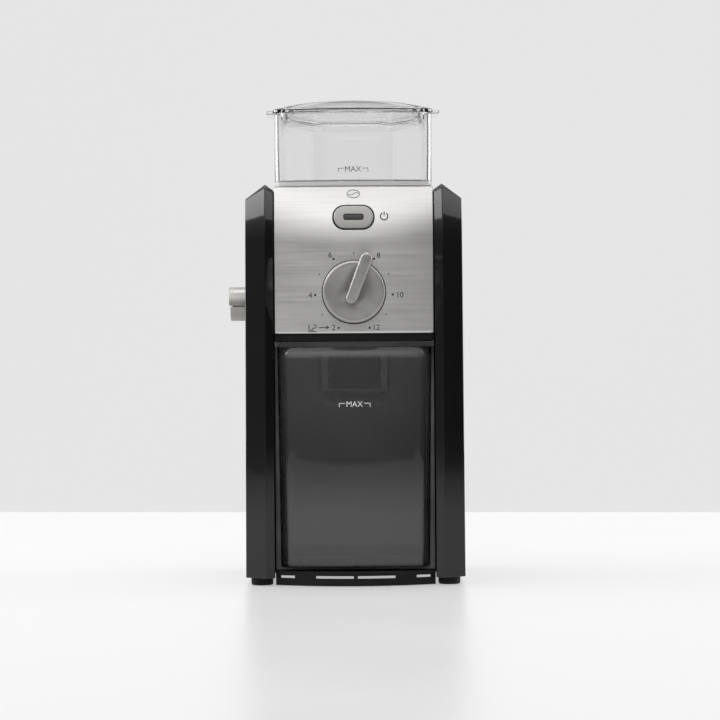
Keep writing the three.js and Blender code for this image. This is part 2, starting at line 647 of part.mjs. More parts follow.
// The lid is a low dome whose height falls off as the square of the way out to its rim.
const LID_RIM = RIM_Z + GAP;
const LID_THICKNESS = 2;
const LID_OVERHANG = 0.8;
function lidSurface(scale, base) {
  const plan = planRing(hopperPlan(-LID_OVERHANG), 0);
  const rise = LID_PEAK_Z - LID_RIM - LID_THICKNESS;
  const height = base + rise * (1 - scale ** 2);
  return plan.map((p) => p.multiplyScalar(scale).setZ(height));
}
function lidDome(base) {
  const scales = [1, 0.8, 0.5, 0.15];
  return scales.map((scale) => lidSurface(scale, base));
}
function hopperLid() {
  const top = loft([lidSurface(1, LID_RIM), ...lidDome(LID_RIM + LID_THICKNESS)], ['x', 'y']);
  const hollow = loft([lidSurface(0.93, LID_RIM - 4).map((p) => p.setZ(LID_RIM - 4)),
    ...lidDome(LID_RIM - 0.2).slice(1)], ['x', 'y']);
  const skirt = cut(solidFromPlan(HOPPER_WALL + GAP + 0.2, LID_RIM - 4, HOPPER_WALL + GAP + 0.2, LID_RIM + 1),
    solidFromPlan(HOPPER_WALL + GAP + 1.7, LID_RIM - 5, HOPPER_WALL + GAP + 1.7, LID_RIM + 3));
  const tabs = [-1, 1].map((side) => box(
    Math.min(side * 40.6, side * 46.3), Math.max(side * 40.6, side * 46.3), -36, -6, LID_RIM, LID_RIM + 1.8));
  return cut(join(top, skirt, ...tabs), hollow);
}
add('hopper_lid', hopperLid(), 'clear');

// ---------------------------------------------------------------- rear cover and cord inlet
const REAR_THICKNESS = 2.2;
const REAR_TOP = DECK_TOP - DECK_THICKNESS - GAP;
const VENT_ROWS = 7;
const VENT_PITCH = 7;
const VENT_HEIGHT = 3;
const VENT_FIRST_Z = 40;
const CORD_X = 24;
const CORD_Z = 22;
const CORD_HOLE = 6.4;
const REAR_SCREWS = [[-30, 196], [30, 196]];
const BODY_BACK = 81.5;

const rearFaceY = (x) => REAR_EDGE_Y + REAR_BOW * (1 - (x / FRONT_HALF) ** 2);

function rearCover() {
  const height = REAR_TOP - BASE_BOTTOM;
  const sheet = new THREE.BoxGeometry(2 * FRONT_HALF, 2, height, 8, 1, 1).translate(0, 0, BASE_BOTTOM + height / 2);
  warp(sheet, (v) => {
    v.y = rearFaceY(v.x) - (v.y < 0 ? REAR_THICKNESS : 0);
  });
  const vents = Array.from({ length: VENT_ROWS }, (_, row) => {
    const z = VENT_FIRST_Z + row * VENT_PITCH;
    return extrudeBack(roundedRectangle(52, VENT_HEIGHT, VENT_HEIGHT / 2), 60, 90, 2).translate(0, 0, z);
  });
  const backwards = (radius, segments) => cylinder(radius, -90, -60, segments).rotateX(Math.PI / 2);
  const cordHole = backwards(CORD_HOLE, 20).translate(CORD_X, 0, CORD_Z);
  const screwHoles = REAR_SCREWS.map(([x, z]) => backwards(SCREW_HOLE, 12).translate(x, 0, z));
  return cut(sheet, ...vents, cordHole, ...screwHoles);
}
add('rear_cover', rearCover(), 'matteBlack');

REAR_SCREWS.forEach(([x, z], i) => {
  const mesh = add(`rear_screw_${i + 1}`, screw(3, 1.6, 9).rotateX(Math.PI / 2), 'steel');
  mesh.position.set(x, rearFaceY(x) + 2.1, z);
});

// The mains lead enters through this rubber bush, flanged on both sides of the cover.
function cordInlet() {
  const face = rearFaceY(CORD_X);
  const inside = face - REAR_THICKNESS - GAP - 0.6;
  const outside = face + GAP + 0.5;
  const bush = turned([[3.6, inside - 2], [8.4, inside - 2], [8.4, inside], [CORD_HOLE - GAP, inside],
    [CORD_HOLE - GAP, outside], [8.4, outside], [7.4, BODY_BACK - 1.2], [6.6, BODY_BACK], [3.6, BODY_BACK],
    [3.6, inside - 2]], 18);
  return bush.rotateX(-Math.PI / 2);
}
add('cord_inlet_bush', cordInlet(), 'rubber').position.set(CORD_X, 0, CORD_Z);

// ---------------------------------------------------------------- burrs and grinding chamber
const BURR_RADIUS = 21;
const CHAMBER_INNER = 24.8;
const CHAMBER_OUTER = 26.8;
const CHAMBER_FLOOR = 126.8;
const CHAMBER_TOP = 157.6;
const SHAFT_RADIUS = 3;
const CHUTE_SLOT_FRONT = 6;
const CHUTE_SLOT_BACK = 14;

const atBurr = (mesh) => mesh.position.set(0, BURR_Y, 0);

function grindingChamber() {
  const bowl = turned([[8.3, CHAMBER_FLOOR - 6], [11, CHAMBER_FLOOR - 6], [11, CHAMBER_FLOOR],
    [CHAMBER_OUTER, CHAMBER_FLOOR], [CHAMBER_OUTER, CHAMBER_TOP], [CHAMBER_INNER, CHAMBER_TOP],
    [CHAMBER_INNER, CHAMBER_FLOOR + 2.4], [8.3, CHAMBER_FLOOR + 2.4], [8.3, CHAMBER_FLOOR - 6]], 28);
  const slot = box(-11, 11, CHUTE_SLOT_FRONT - BURR_Y, CHUTE_SLOT_BACK - BURR_Y, CHAMBER_FLOOR - 1, CHAMBER_FLOOR + 4);
  return cut(bowl, slot);
}
atBurr(add('grinding_chamber', grindingChamber(), 'nylon'));
atBurr(add('burr_shaft_bearing', ring(SHAFT_RADIUS + 0.1, 8, CHAMBER_FLOOR - 5.6, CHAMBER_FLOOR + 1.6), 'steel'));

// A flat burr: a disc with a bevelled throat and slanting grooves cut into one face.
function burr(bore, height, grooves, slant) {
  const disc = turned([[bore, 0], [BURR_RADIUS, 0], [BURR_RADIUS, height], [bore + 6, height],
    [bore, height - 1.6], [bore, 0]], 28);
  const cuts = Array.from({ length: grooves }, (_, i) => {
    const groove = box(bore - 2, BURR_RADIUS + 4, -0.7, 0.7, height - 0.9, height + 1);
    return groove.translate(0, slant, 0).rotateZ((i / grooves) * 2 * Math.PI);
  });
  return cut(disc, ...cuts);
}
const LOWER_BURR_Z = 145.8;
const BURR_HEIGHT = 4.4;
const UPPER_BURR_TOP = 155.2;
atBurr(add('lower_burr', burr(6.6, BURR_HEIGHT, 12, 3).translate(0, 0, LOWER_BURR_Z), 'castSteel'));
atBurr(add('upper_burr', burr(9.5, BURR_HEIGHT, 12, -3).rotateX(Math.PI).translate(0, 0, UPPER_BURR_TOP), 'castSteel'));

// Carries the lower burr and sweeps the grounds to the chute with its paddles.
function burrCarrier() {
  const hub = turned([[SHAFT_RADIUS + 0.25, 131], [5.8, 131], [5.8, 138], [21.6, 138], [21.6, LOWER_BURR_Z - GAP],
    [6, LOWER_BURR_Z - GAP], [6, LOWER_BURR_Z + 2], [SHAFT_RADIUS + 0.25, LOWER_BURR_Z + 2],
    [SHAFT_RADIUS + 0.25, 131]], 24);
  const paddles = [0, 1, 2, 3].map((i) => box(5, 23.6, -1, 1, 130, 138.5).rotateZ((i * Math.PI) / 2 + 0.4));
  return join(hub, ...paddles);
}
atBurr(add('burr_carrier', burrCarrier(), 'castSteel'));
atBurr(add('burr_shaft', cylinder(SHAFT_RADIUS, 92, LOWER_BURR_Z + 2.2, 20), 'steel'));
atBurr(add('burr_nut', cylinder(4.6, LOWER_BURR_Z + 2.6, LOWER_BURR_Z + 4.4, 6), 'steel'));

// Fineness adjuster: the side knob's pinion turns a ring by crown teeth under its rim.
const PINION_TEETH = 10;
const CROWN_TEETH = 60;
const CROWN_PITCH_Z = FINENESS_Z + (PINION_TEETH * GEAR_MODULE) / 2;
const CROWN_SECTOR = 6;

function adjustingRing() {
  const root = CROWN_PITCH_Z + 1.1;
  const body = turned([[14, UPPER_BURR_TOP + GAP], [24.2, UPPER_BURR_TOP + GAP], [24.2, root], [33.4, root],
    [33.4, root + 4], [22, root + 4], [16, root + 1], [14, root + 1], [14, UPPER_BURR_TOP + GAP]], 36);
  const tooth = polygon([[-0.9, root + 0.3], [-0.3, CROWN_PITCH_Z - 0.8], [0.3, CROWN_PITCH_Z - 0.8], [0.9, root + 0.3]]);
  const pitch = (2 * Math.PI) / CROWN_TEETH;
  const teeth = [];
  for (let i = -CROWN_SECTOR; i <= CROWN_SECTOR; i += 1) {
    teeth.push(extrudeAcross(tooth, -32.2, -27.8).rotateZ(i * pitch));
  }
  return join(body, ...teeth);
}
atBurr(add('adjusting_ring', adjustingRing(), 'nylon'));

// Outline of a spur gear with straight flanks laid between the involute's root and tip.
function gearShape(teeth, bore) {
  const pressureAngle = THREE.MathUtils.degToRad(20);
  const pitchRadius = (teeth * GEAR_MODULE) / 2;
  const baseRadius = pitchRadius * Math.cos(pressureAngle);
  const involute = (angle) => Math.tan(angle) - angle;
  const backlash = 0.3;
  const halfAngle = (radius) => {
    const angle = Math.acos(Math.min(1, baseRadius / radius));
    const atPitch = Math.PI / (2 * teeth) - backlash / (2 * pitchRadius);
    return atPitch + involute(pressureAngle) - involute(angle);
  };
  const tip = pitchRadius + 0.8 * GEAR_MODULE;
  const rootRadius = pitchRadius - 1.15 * GEAR_MODULE;
  const points = [];
  for (let i = 0; i < teeth; i += 1) {
    const middle = (i / teeth) * 2 * Math.PI;
    const corners = [[rootRadius, -1], [tip, -1], [tip, 1], [rootRadius, 1]];
    for (const [radius, side] of corners) {
      const angle = middle + side * halfAngle(Math.max(radius, baseRadius));
      points.push(new THREE.Vector2(radius * Math.cos(angle), radius * Math.sin(angle)));
    }
  }
  const shape = new THREE.Shape(points);
  if (bore) shape.holes.push(new THREE.Path().absarc(0, 0, bore, 0, 2 * Math.PI, true));
  return shape;
}

const spurGear = (teeth, bore, z0, z1) => extrudeUp(gearShape(teeth, bore), z0, z1, 8);

function finenessShaft() {
  const halfPitch = Math.PI / PINION_TEETH;
  const pinion = alongX(spurGear(PINION_TEETH, 0, -31.8, -28.2).rotateZ(halfPitch));
  return join(alongX(cylinder(2.5, -67.6, -27, 16)), pinion);
}
add('fineness_shaft', finenessShaft(), 'steel').position.set(0, BURR_Y, FINENESS_Z);
add('fineness_bush', alongX(ring(2.65, FINENESS_HOLE - GAP, -57.8, -42.4, 16)), 'nylon')
  .position.set(0, BURR_Y, FINENESS_Z);

// A disc split by a level groove, with its upper part standing further out than its lower part.
const FINENESS_KNOB_RADIUS = 9.7;
const KNOB_SPLIT = 1.3;           // the groove runs this far below the knob's axis
const KNOB_GROOVE = 0.5;
const KNOB_STEP = 0.8;
function finenessKnob() {
  const reach = KNOB_REACH - HALF_WIDTH - 0.8;
  const radius = FINENESS_KNOB_RADIUS;
  const disc = turned([[0, 0], [radius - 0.2, 0], [radius, reach - 0.8], [radius - 0.6, reach], [0, reach]], 32);
  const step = box(KNOB_SPLIT, radius + 1, -radius - 1, radius + 1, reach - KNOB_STEP, reach + 1);
  const groove = box(KNOB_SPLIT - KNOB_GROOVE / 2, KNOB_SPLIT + KNOB_GROOVE / 2, -radius - 1, radius + 1,
    reach - KNOB_STEP - 1.4, reach + 1);
  const bore = cylinder(2.7, -1, 8.2, 14);
  return cut(disc, step, groove, bore);
}
const sideKnob = add('fineness_knob', alongX(finenessKnob()).rotateZ(Math.PI), 'satinSilver');
sideKnob.position.set(-HALF_WIDTH - 0.8, BURR_Y, FINENESS_Z);

// The duct that drops the grounds from the chamber's floor into the container.
function groundsChute() {
  const y0 = BAY_BACK_Y - 1.4;
  const outer = polygon([[y0, CHUTE_BOTTOM], [4, CHUTE_BOTTOM], [16, 117.4], [16, CHAMBER_FLOOR - GAP],
    [3.4, CHAMBER_FLOOR - GAP], [3.4, CHUTE_TOP], [y0, CHUTE_TOP]]);
  const inner = polygon([[y0 - 1, 108.4], [3.2, 108.4], [14, 118.4], [14, CHAMBER_FLOOR + 2],
    [6, CHAMBER_FLOOR + 2], [6, 123.6], [y0 - 1, 123.6]]);
  return cut(
    extrudeAcross(outer, -CHUTE_HALF, CHUTE_HALF),
    extrudeAcross(inner, -12.4, 12.4),
  );
}
add('grounds_chute', groundsChute(), 'matteBlack');

// ---------------------------------------------------------------- motor and reduction gears
const PINION_Z = [86.6, 93.2];
const WHEEL_Z = [87.6, 92.6];
const BURR_GEAR_Z = [96.8, 103];
const WHEEL_TEETH = 32;
const IDLER_TEETH = 12;
const BURR_GEAR_TEETH = 40;
const MOTOR_SHAFT = 1.6;
const FRAME_HALF = 42;
const FRAME_TOP = 112;
const BRACKET_Z = [81.2, 83.8];
const MOTOR_RADIUS = 24;
const MOTOR_BOTTOM = 24;

// Place of the idler: as far from each neighbour as their pitch circles touch.
const toBurr = ((IDLER_TEETH + BURR_GEAR_TEETH) * GEAR_MODULE) / 2;
const toMotor = ((PINION_TEETH + WHEEL_TEETH) * GEAR_MODULE) / 2;
const axisGap = MOTOR_Y - BURR_Y;
const idlerOffset = (toBurr ** 2 - toMotor ** 2 + axisGap ** 2) / (2 * axisGap);
const idlerX = Math.sqrt(toBurr ** 2 - idlerOffset ** 2);
const idlerY = BURR_Y + idlerOffset;

const motorToIdler = Math.atan2(idlerY - MOTOR_Y, idlerX);
const idlerToBurr = Math.atan2(BURR_Y - idlerY, -idlerX);

atBurr(add('burr_gear', spurGear(BURR_GEAR_TEETH, SHAFT_RADIUS + 0.25, ...BURR_GEAR_Z)
  .rotateZ(idlerToBurr + Math.PI - Math.PI / BURR_GEAR_TEETH), 'nylon'));
add('idler_gear', join(
  spurGear(WHEEL_TEETH, 2.8, ...WHEEL_Z).rotateZ(motorToIdler + Math.PI - Math.PI / WHEEL_TEETH),
  spurGear(IDLER_TEETH, 2.8, WHEEL_Z[1] - 0.5, BURR_GEAR_Z[1] + 1).rotateZ(idlerToBurr),
), 'nylon').position.set(idlerX, idlerY, 0);
add('idler_axle', cylinder(2.5, BRACKET_Z[1] + GAP, FRAME_TOP - GAP, 16), 'steel').position.set(idlerX, idlerY, 0);
add('motor_pinion', spurGear(PINION_TEETH, MOTOR_SHAFT + 0.25, ...PINION_Z).rotateZ(motorToIdler), 'steel')
  .position.set(0, MOTOR_Y, 0);

const atMotor = (mesh) => mesh.position.set(0, MOTOR_Y, 0);
atMotor(add('motor_shaft', cylinder(MOTOR_SHAFT, 14, PINION_Z[1] + 1, 16), 'steel'));
atMotor(add('motor_can', turned([[5, MOTOR_BOTTOM], [MOTOR_RADIUS, MOTOR_BOTTOM], [MOTOR_RADIUS, 77.6],
  [MOTOR_RADIUS - 1.6, 77.6], [MOTOR_RADIUS - 1.6, MOTOR_BOTTOM + 1.6], [5, MOTOR_BOTTOM + 1.6], [5, MOTOR_BOTTOM]], 24), 'steel'));
atMotor(add('motor_end_cap', ring(5, MOTOR_RADIUS, 77.9, 80.8, 24), 'matteBlack'));
atMotor(add('motor_bearing_lower', ring(MOTOR_SHAFT + 0.1, 4.7, MOTOR_BOTTOM - 1, MOTOR_BOTTOM + 4, 14), 'steel'));
atMotor(add('motor_bearing_upper', ring(MOTOR_SHAFT + 0.1, 4.7, 76.4, 80.8, 14), 'steel'));
atMotor(add('motor_magnet_ring', ring(19.4, MOTOR_RADIUS - 1.9, 33, 67, 24), 'castSteel'));

// Slotted iron core of the rotor.
function rotorCore() {
  const slots = Array.from({ length: 8 }, (_, i) => {
    return box(9, 20, -1.2, 1.2, 30, 70).rotateZ((i / 8) * 2 * Math.PI);
  });
  return cut(ring(MOTOR_SHAFT + 0.25, 18.6, 36, 64, 24), ...slots);
}
atMotor(add('rotor_core', rotorCore(), 'castSteel'));
for (const [name, low, high] of [['lower', 29.6, 35.7], ['upper', 64.3, 69.4]]) {
  atMotor(add(`rotor_winding_${name}`, turned([[7, low], [14, low], [16.5, low + 2], [16.5, high], [7, high], [7, low]], 18), 'copper'));
}
atMotor(add('commutator', ring(MOTOR_SHAFT + 0.25, 6, 70, 76, 14), 'copper'));

function coolingFan() {
  const hub = ring(MOTOR_SHAFT + 0.25, 6, 14.4, 21, 20);
  const disc = ring(5, 19, 19.4, 21, 20);
  const blades = Array.from({ length: 7 }, (_, i) => {
    return box(5.5, 18.6, -0.7, 0.7, 14.8, 20).rotateZ((i / 7) * 2 * Math.PI);
  });
  return join(hub, disc, ...blades);
}
atMotor(add('cooling_fan', coolingFan(), 'matteBlack'));

add('motor_bracket', cut(
  box(-FRAME_HALF + 2.6, FRAME_HALF - 2.6, 20, 68, ...BRACKET_Z),
  cylinder(6, 70, 90, 20).translate(0, MOTOR_Y, 0),
), 'steel');

// An upside-down U that stands on the base and carries the bracket and the gears.
function mechanismFrame() {
  const walls = [-1, 1].map((side) => box(
    Math.min(side * (FRAME_HALF - 2.2), side * FRAME_HALF), Math.max(side * (FRAME_HALF - 2.2), side * FRAME_HALF),
    20, 68, BASE_TOP + GAP, FRAME_TOP + 1));
  const top = box(-FRAME_HALF, FRAME_HALF, 20, 68, FRAME_TOP, FRAME_TOP + 2.4);
  return cut(
    join(top, ...walls),
    cylinder(SHAFT_RADIUS + 0.5, 100, 130, 20).translate(0, BURR_Y, 0),
  );
}
add('mechanism_frame', mechanismFrame(), 'greyPlastic');

add('interlock_switch', box(28, 38, BAY_BACK_Y + 2.4, BAY_BACK_Y + 12, 20, 34), 'matteBlack');

export default model;
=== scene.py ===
import json
import math

import bmesh
import bpy
import numpy as np
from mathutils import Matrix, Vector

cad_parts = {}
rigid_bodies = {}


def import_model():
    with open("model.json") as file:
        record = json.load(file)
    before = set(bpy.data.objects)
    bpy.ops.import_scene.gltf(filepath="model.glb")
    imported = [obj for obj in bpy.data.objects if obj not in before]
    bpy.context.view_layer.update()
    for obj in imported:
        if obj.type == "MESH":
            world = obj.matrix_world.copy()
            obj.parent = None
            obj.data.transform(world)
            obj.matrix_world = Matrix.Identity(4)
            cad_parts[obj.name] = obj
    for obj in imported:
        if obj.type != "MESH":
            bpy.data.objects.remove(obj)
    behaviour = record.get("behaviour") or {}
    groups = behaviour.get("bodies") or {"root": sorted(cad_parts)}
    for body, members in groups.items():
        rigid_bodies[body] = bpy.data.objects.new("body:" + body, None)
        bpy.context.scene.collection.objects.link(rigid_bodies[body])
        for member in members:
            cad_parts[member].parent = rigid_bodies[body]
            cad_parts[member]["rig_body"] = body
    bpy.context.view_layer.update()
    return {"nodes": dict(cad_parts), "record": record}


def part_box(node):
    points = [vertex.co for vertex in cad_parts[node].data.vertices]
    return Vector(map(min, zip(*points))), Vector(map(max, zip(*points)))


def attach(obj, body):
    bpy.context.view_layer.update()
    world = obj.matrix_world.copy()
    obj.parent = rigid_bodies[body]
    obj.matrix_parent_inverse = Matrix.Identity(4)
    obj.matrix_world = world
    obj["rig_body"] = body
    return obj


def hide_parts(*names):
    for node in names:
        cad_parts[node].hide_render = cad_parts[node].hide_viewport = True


# Looks of a burr coffee grinder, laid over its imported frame. The front faces -Y and +Z is up.
# Shapes are worked out in millimetres about the middle plane of the body, and placed in metres.
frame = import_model()

MM = 0.001
fascia_low, fascia_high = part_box("front_fascia")
CENTRE_X = (fascia_low.x + fascia_high.x) / 2 / MM      # the side knob makes the whole box lopsided

# ---------------------------------------------------------------- driving dimensions, mm
FRONT_HALF = (fascia_high.x - fascia_low.x) / 2 / MM    # half width between the side panels
HALF_WIDTH = 59.6
RIDGE_Y = -64.5
BACK_Y = 76.0
PANEL_BOTTOM = 4.4
PANEL_TOP = 218.2
BEND_Z = 186.0
BEND_RADIUS = 58.0
RIDGE_X = 48.3
PANEL_INNER_X = 43.6
OUTER_BEVEL = 8.0
INNER_FACET = 3.3
PANEL_DRAFT = 0.7
PANEL_WALL = 3.0

FASCIA_BOTTOM = fascia_low.z / MM
FASCIA_TOP = fascia_high.z / MM
FRONT_EDGE_Y = RIDGE_Y + INNER_FACET + 0.2
FRONT_BOW = 7.0
SHEET = 1.2

BUTTON_Z = 199.4
BUTTON_WIDTH = 21.4
BUTTON_HEIGHT = 12.8
BUTTON_RADIUS = 6.0
BUTTON_SLOT = 0.75
BUTTON_LEAN = math.asin((BUTTON_Z - BEND_Z) / (BEND_RADIUS - INNER_FACET))
LENS_WIDTH = 10.6
LENS_HEIGHT = 3.1

KNOB_Z = 158.9
KNOB_RADIUS = 16.8
KNOB_REST = math.radians(21)
KNOB_DISC = 7.6
KNOB_HEIGHT = 13.5
GRIP_HALF = 3.5
GRIP_INNER = -7.0
GRIP_OUTER = 22.3
DIAL_RADIUS = 21.0
DIAL_STEP = math.radians(31.3)
MARK_HEIGHT = 2.9
LOW_MARKS_Z = 139.9

LINER_RIM_Y = -56.7
BAY_FLOOR = 9.4
CONTAINER_TOP = 132.3
CONTAINER_HALF_TOP = 41.3
CONTAINER_HALF_BOTTOM = 39.8
CONTAINER_FRONT_Y = -67.8
CONTAINER_BACK_Y = -5.6
CONTAINER_WALL = 1.8
CONTAINER_CORNER = 7.0
CONTAINER_FLOOR = BAY_FLOOR + 0.9
CONTAINER_RIM = 129.2
INLET_HALF = 18.2
INLET_BOTTOM = 104.4

DECK_TOP = 216.8
HOPPER_HALF = 43.2
RIM_Z = 257.3
LID_PEAK_Z = 266.0
HOPPER_WALL = 2.0
THROAT_Z = 166.6
THROAT_RADIUS = 13.6
LEDGE_INSET = 4.0
LID_OVERHANG = 0.8
TAB_X = 45.3
TAB_Y = -21.0
BURR_Y = 28.0
FINENESS_Z = 154.3
FINENESS_KNOB_RADIUS = 9.7
CORNER_POINTS = 10
HOPPER_FRONT_POINTS = 28
CONTAINER_FRONT_POINTS = 32


# ---------------------------------------------------------------- numbers and outlines
def line(start, end, count=1):
    """Points evenly spaced from start towards end, without the end itself."""
    share = np.linspace(0, 1, count, endpoint=False)[:, None]
    return np.asarray(start) * (1 - share) + np.asarray(end) * share


def arc(centre, radius, start, end, count):
    """Points on a circle from the start angle towards the end angle, without the last."""
    angle = np.linspace(start, end, count, endpoint=False)
    return np.stack([centre[0] + radius * np.cos(angle), centre[1] + radius * np.sin(angle)], axis=1)


def pulled(start, pull, end, count):
    """Points on a parabola that leaves start and reaches end, both aimed at the pull point."""
    share = np.linspace(0, 1, count, endpoint=False)[:, None]
    start, pull, end = np.asarray(start), np.asarray(pull), np.asarray(end)
    return (1 - share) ** 2 * start + 2 * share * (1 - share) * pull + share ** 2 * end


def rounded_outline(width, height, radius, corner_points=16, side_points=6):
    """A rectangle with quarter circles at its corners, anticlockwise from the lower left."""
    u, v = width / 2 - radius, height / 2 - radius
    quarter = math.pi / 2
    return np.vstack([
        line((-u, -v - radius), (u, -v - radius), side_points),
        arc((u, -v), radius, -quarter, 0, corner_points),
        line((u + radius, -v), (u + radius, v), side_points),
        arc((u, v), radius, 0, quarter, corner_points),
        line((u, v + radius), (-u, v + radius), side_points),
        arc((-u, v), radius, quarter, 2 * quarter, corner_points),
        line((-u - radius, v), (-u - radius, -v), side_points),
        arc((-u, -v), radius, 2 * quarter, 3 * quarter, corner_points),
    ])


def fascia_edge_y(z):
    """Upright up to the bend, then a quarter-round that leans back."""
    radius = BEND_RADIUS - (FRONT_EDGE_Y - RIDGE_Y)
    rise = np.clip(z - BEND_Z, 0, None)
    return RIDGE_Y + BEND_RADIUS - np.sqrt(radius ** 2 - rise ** 2)


def fascia_y(x, z):
    """The edge's line, less a parabola across the width that fades a little over the bend."""
    fade = 1 - 0.45 * np.clip((z - BEND_Z) / (FASCIA_TOP - BEND_Z), 0, None)
    return fascia_edge_y(z) - FRONT_BOW * fade * (1 - (x / FRONT_HALF) ** 2)


def panel_outline(inset, bottom):
    """Side view of the body as (y, z): upright front, big bend, small top corner, round back."""
    bend = BEND_RADIUS - inset
    top_radius = max(6 - inset, 1.5)
    back_radius = max(7 - inset, 2)
    top = PANEL_TOP - inset
    centre_y = RIDGE_Y + BEND_RADIUS
    reach = bend - top_radius
    height = top - top_radius - BEND_Z
    top_y = centre_y - math.sqrt(reach ** 2 - height ** 2)
    lean = math.asin(height / reach)
    front = RIDGE_Y + inset
    back = BACK_Y - inset
    return np.vstack([
        line((front, bottom), (front, BEND_Z), 12),
        arc((centre_y, BEND_Z), bend, math.pi, math.pi - lean, 28),
        arc((top_y, top - top_radius), top_radius, math.pi - lean, math.pi / 2, 10),
        line((top_y, top), (back - back_radius, top), 10),
        arc((back - back_radius, top - back_radius), back_radius, math.pi / 2, 0, 10),
        line((back, top - back_radius), (back, bottom), 12),
        line((back, bottom), (front, bottom), 8),
    ])


def hopper_plan(inset):
    """Shield seen from above: bowed front, sides that close in, narrow straight back."""
    front_half = HOPPER_HALF - inset
    back_half = 19 - inset * 0.6
    front = -45.5 + inset
    back = 49 - inset
    corner = max(6 - inset * 0.5, 2)
    return np.vstack([
        pulled((-front_half, front + corner), (-front_half, front), (corner - front_half, front - 1.4),
               CORNER_POINTS),
        pulled((corner - front_half, front - 1.4), (0, front - 9.6), (front_half - corner, front - 1.4),
               HOPPER_FRONT_POINTS),
        pulled((front_half - corner, front - 1.4), (front_half, front), (front_half, front + corner),
               CORNER_POINTS),
        line((front_half, front + corner), (front_half - 1.5, 0), 8),
        pulled((front_half - 1.5, 0), (front_half - 3.5, 9), (back_half + 5, back - 6), 16),
        pulled((back_half + 5, back - 6), (back_half, back), (back_half - 6, back), 10),
        line((back_half - 6, back), (6 - back_half, back), 8),
        pulled((6 - back_half, back), (-back_half, back), (-back_half - 5, back - 6), 10),
        pulled((-back_half - 5, back - 6), (3.5 - front_half, 9), (1.5 - front_half, 0), 16),
        line((1.5 - front_half, 0), (-front_half, front + corner), 8),
    ])


def container_plan(half_width, inset):
    """Drawer seen from above: bowed front with round corners, square back split for the inlet."""
    half = half_width - inset
    radius = max(CONTAINER_CORNER - inset, 1.5)
    front = CONTAINER_FRONT_Y + FRONT_BOW * (half_width / FRONT_HALF) ** 2 + inset
    middle = CONTAINER_FRONT_Y + inset
    back = CONTAINER_BACK_Y - inset
    inlet = INLET_HALF
    return np.vstack([
        pulled((-half, front + radius), (-half, front + 0.5), (radius - half, front - 1.9), CORNER_POINTS),
        pulled((radius - half, front - 1.9), (0, 2 * middle - front + 1.9), (half - radius, front - 1.9),
               CONTAINER_FRONT_POINTS),
        pulled((half - radius, front - 1.9), (half, front + 0.5), (half, front + radius), CORNER_POINTS),
        line((half, front + radius), (half, back - 3), 8),
        pulled((half, back - 3), (half, back), (half - 3, back), 8),
        line((half - 3, back), (inlet, back), 4),
        line((inlet, back), (-inlet, back), 8),
        line((-inlet, back), (3 - half, back), 4),
        pulled((3 - half, back), (-half, back), (-half, back - 3), 8),
        line((-half, back - 3), (-half, front + radius), 8),
    ])


def container_half(z):
    """The container's half width grows evenly from its floor to its top."""
    share = (z - BAY_FLOOR) / (CONTAINER_TOP - BAY_FLOOR)
    return CONTAINER_HALF_BOTTOM + (CONTAINER_HALF_TOP - CONTAINER_HALF_BOTTOM) * share


def at_height(outline, z):
    """An outline drawn in plan, laid flat at one height."""
    return np.column_stack([outline, np.full(len(outline), z)])


def shrunk(ring, share):
    """A ring drawn in towards its own middle."""
    middle = ring.mean(axis=0)
    return middle + (ring - middle) * share


# ---------------------------------------------------------------- meshes
def grid_faces(rows, columns, wrap=True, close=False):
    """Quads between neighbouring rows; wrap joins a row's ends, close joins the last row to the first."""
    row = np.arange(rows if close else rows - 1)[:, None]
    column = np.arange(columns if wrap else columns - 1)[None, :]
    here = row * columns
    above = ((row + 1) % rows) * columns
    beside = (column + 1) % columns
    quads = np.stack([here + column, here + beside, above + beside, above + column], axis=-1)
    return quads.reshape(-1, 4)


def smooth_by_angle(mesh, degrees):
    """Shades smooth, with a crease wherever two faces meet at more than this angle."""
    mesh.polygons.foreach_set("use_smooth", np.ones(len(mesh.polygons), dtype=bool))
    mesh.set_sharp_from_angle(angle=math.radians(degrees))


def clean_mesh(mesh, facing=None):
    """Merges doubled points and turns the faces outwards, or towards a given direction."""
    work = bmesh.new()
    work.from_mesh(mesh)
    bmesh.ops.remove_doubles(work, verts=work.verts, dist=0.002 * MM)
    bmesh.ops.dissolve_degenerate(work, edges=work.edges, dist=0.002 * MM)
    bmesh.ops.recalc_face_normals(work, faces=work.faces)
    if facing is not None:
        toward = sum(face.normal.dot(facing) * face.calc_area() for face in work.faces)
        if toward < 0:
            bmesh.ops.reverse_faces(work, faces=work.faces)
    work.to_mesh(mesh)
    work.free()


def make_piece(name, points, faces, finish, body, replaces=(), angle=35, facing=None, merge=True):
    """One piece from points in body millimetres, ready to ride on its body."""
    placed = (np.asarray(points, float).reshape(-1, 3) + (CENTRE_X, 0, 0)) * MM
    mesh = bpy.data.meshes.new(name)
    mesh.from_pydata(placed.tolist(), [], [list(map(int, face)) for face in faces])
    mesh.materials.append(finish)
    if merge:
        clean_mesh(mesh, facing)
    smooth_by_angle(mesh, angle)
    obj = bpy.data.objects.new(name, mesh)
    bpy.context.scene.collection.objects.link(obj)
    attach(obj, body)
    if replaces:
        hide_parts(*replaces)
    return obj


def round_edges(obj, width, segments=2, degrees=30):
    """Rounds every edge sharper than the given angle."""
    bevel = obj.modifiers.new("rounded edges", "BEVEL")
    bevel.width = width * MM
    bevel.segments = segments
    bevel.limit_method = "ANGLE"
    bevel.angle_limit = math.radians(degrees)
    bevel.harden_normals = True


def give_wall(obj, thickness):
    """Thickens a sheet inwards."""
    wall = obj.modifiers.new("wall", "SOLIDIFY")
    wall.thickness = thickness * MM
    wall.offset = -1
    wall.use_even_offset = True


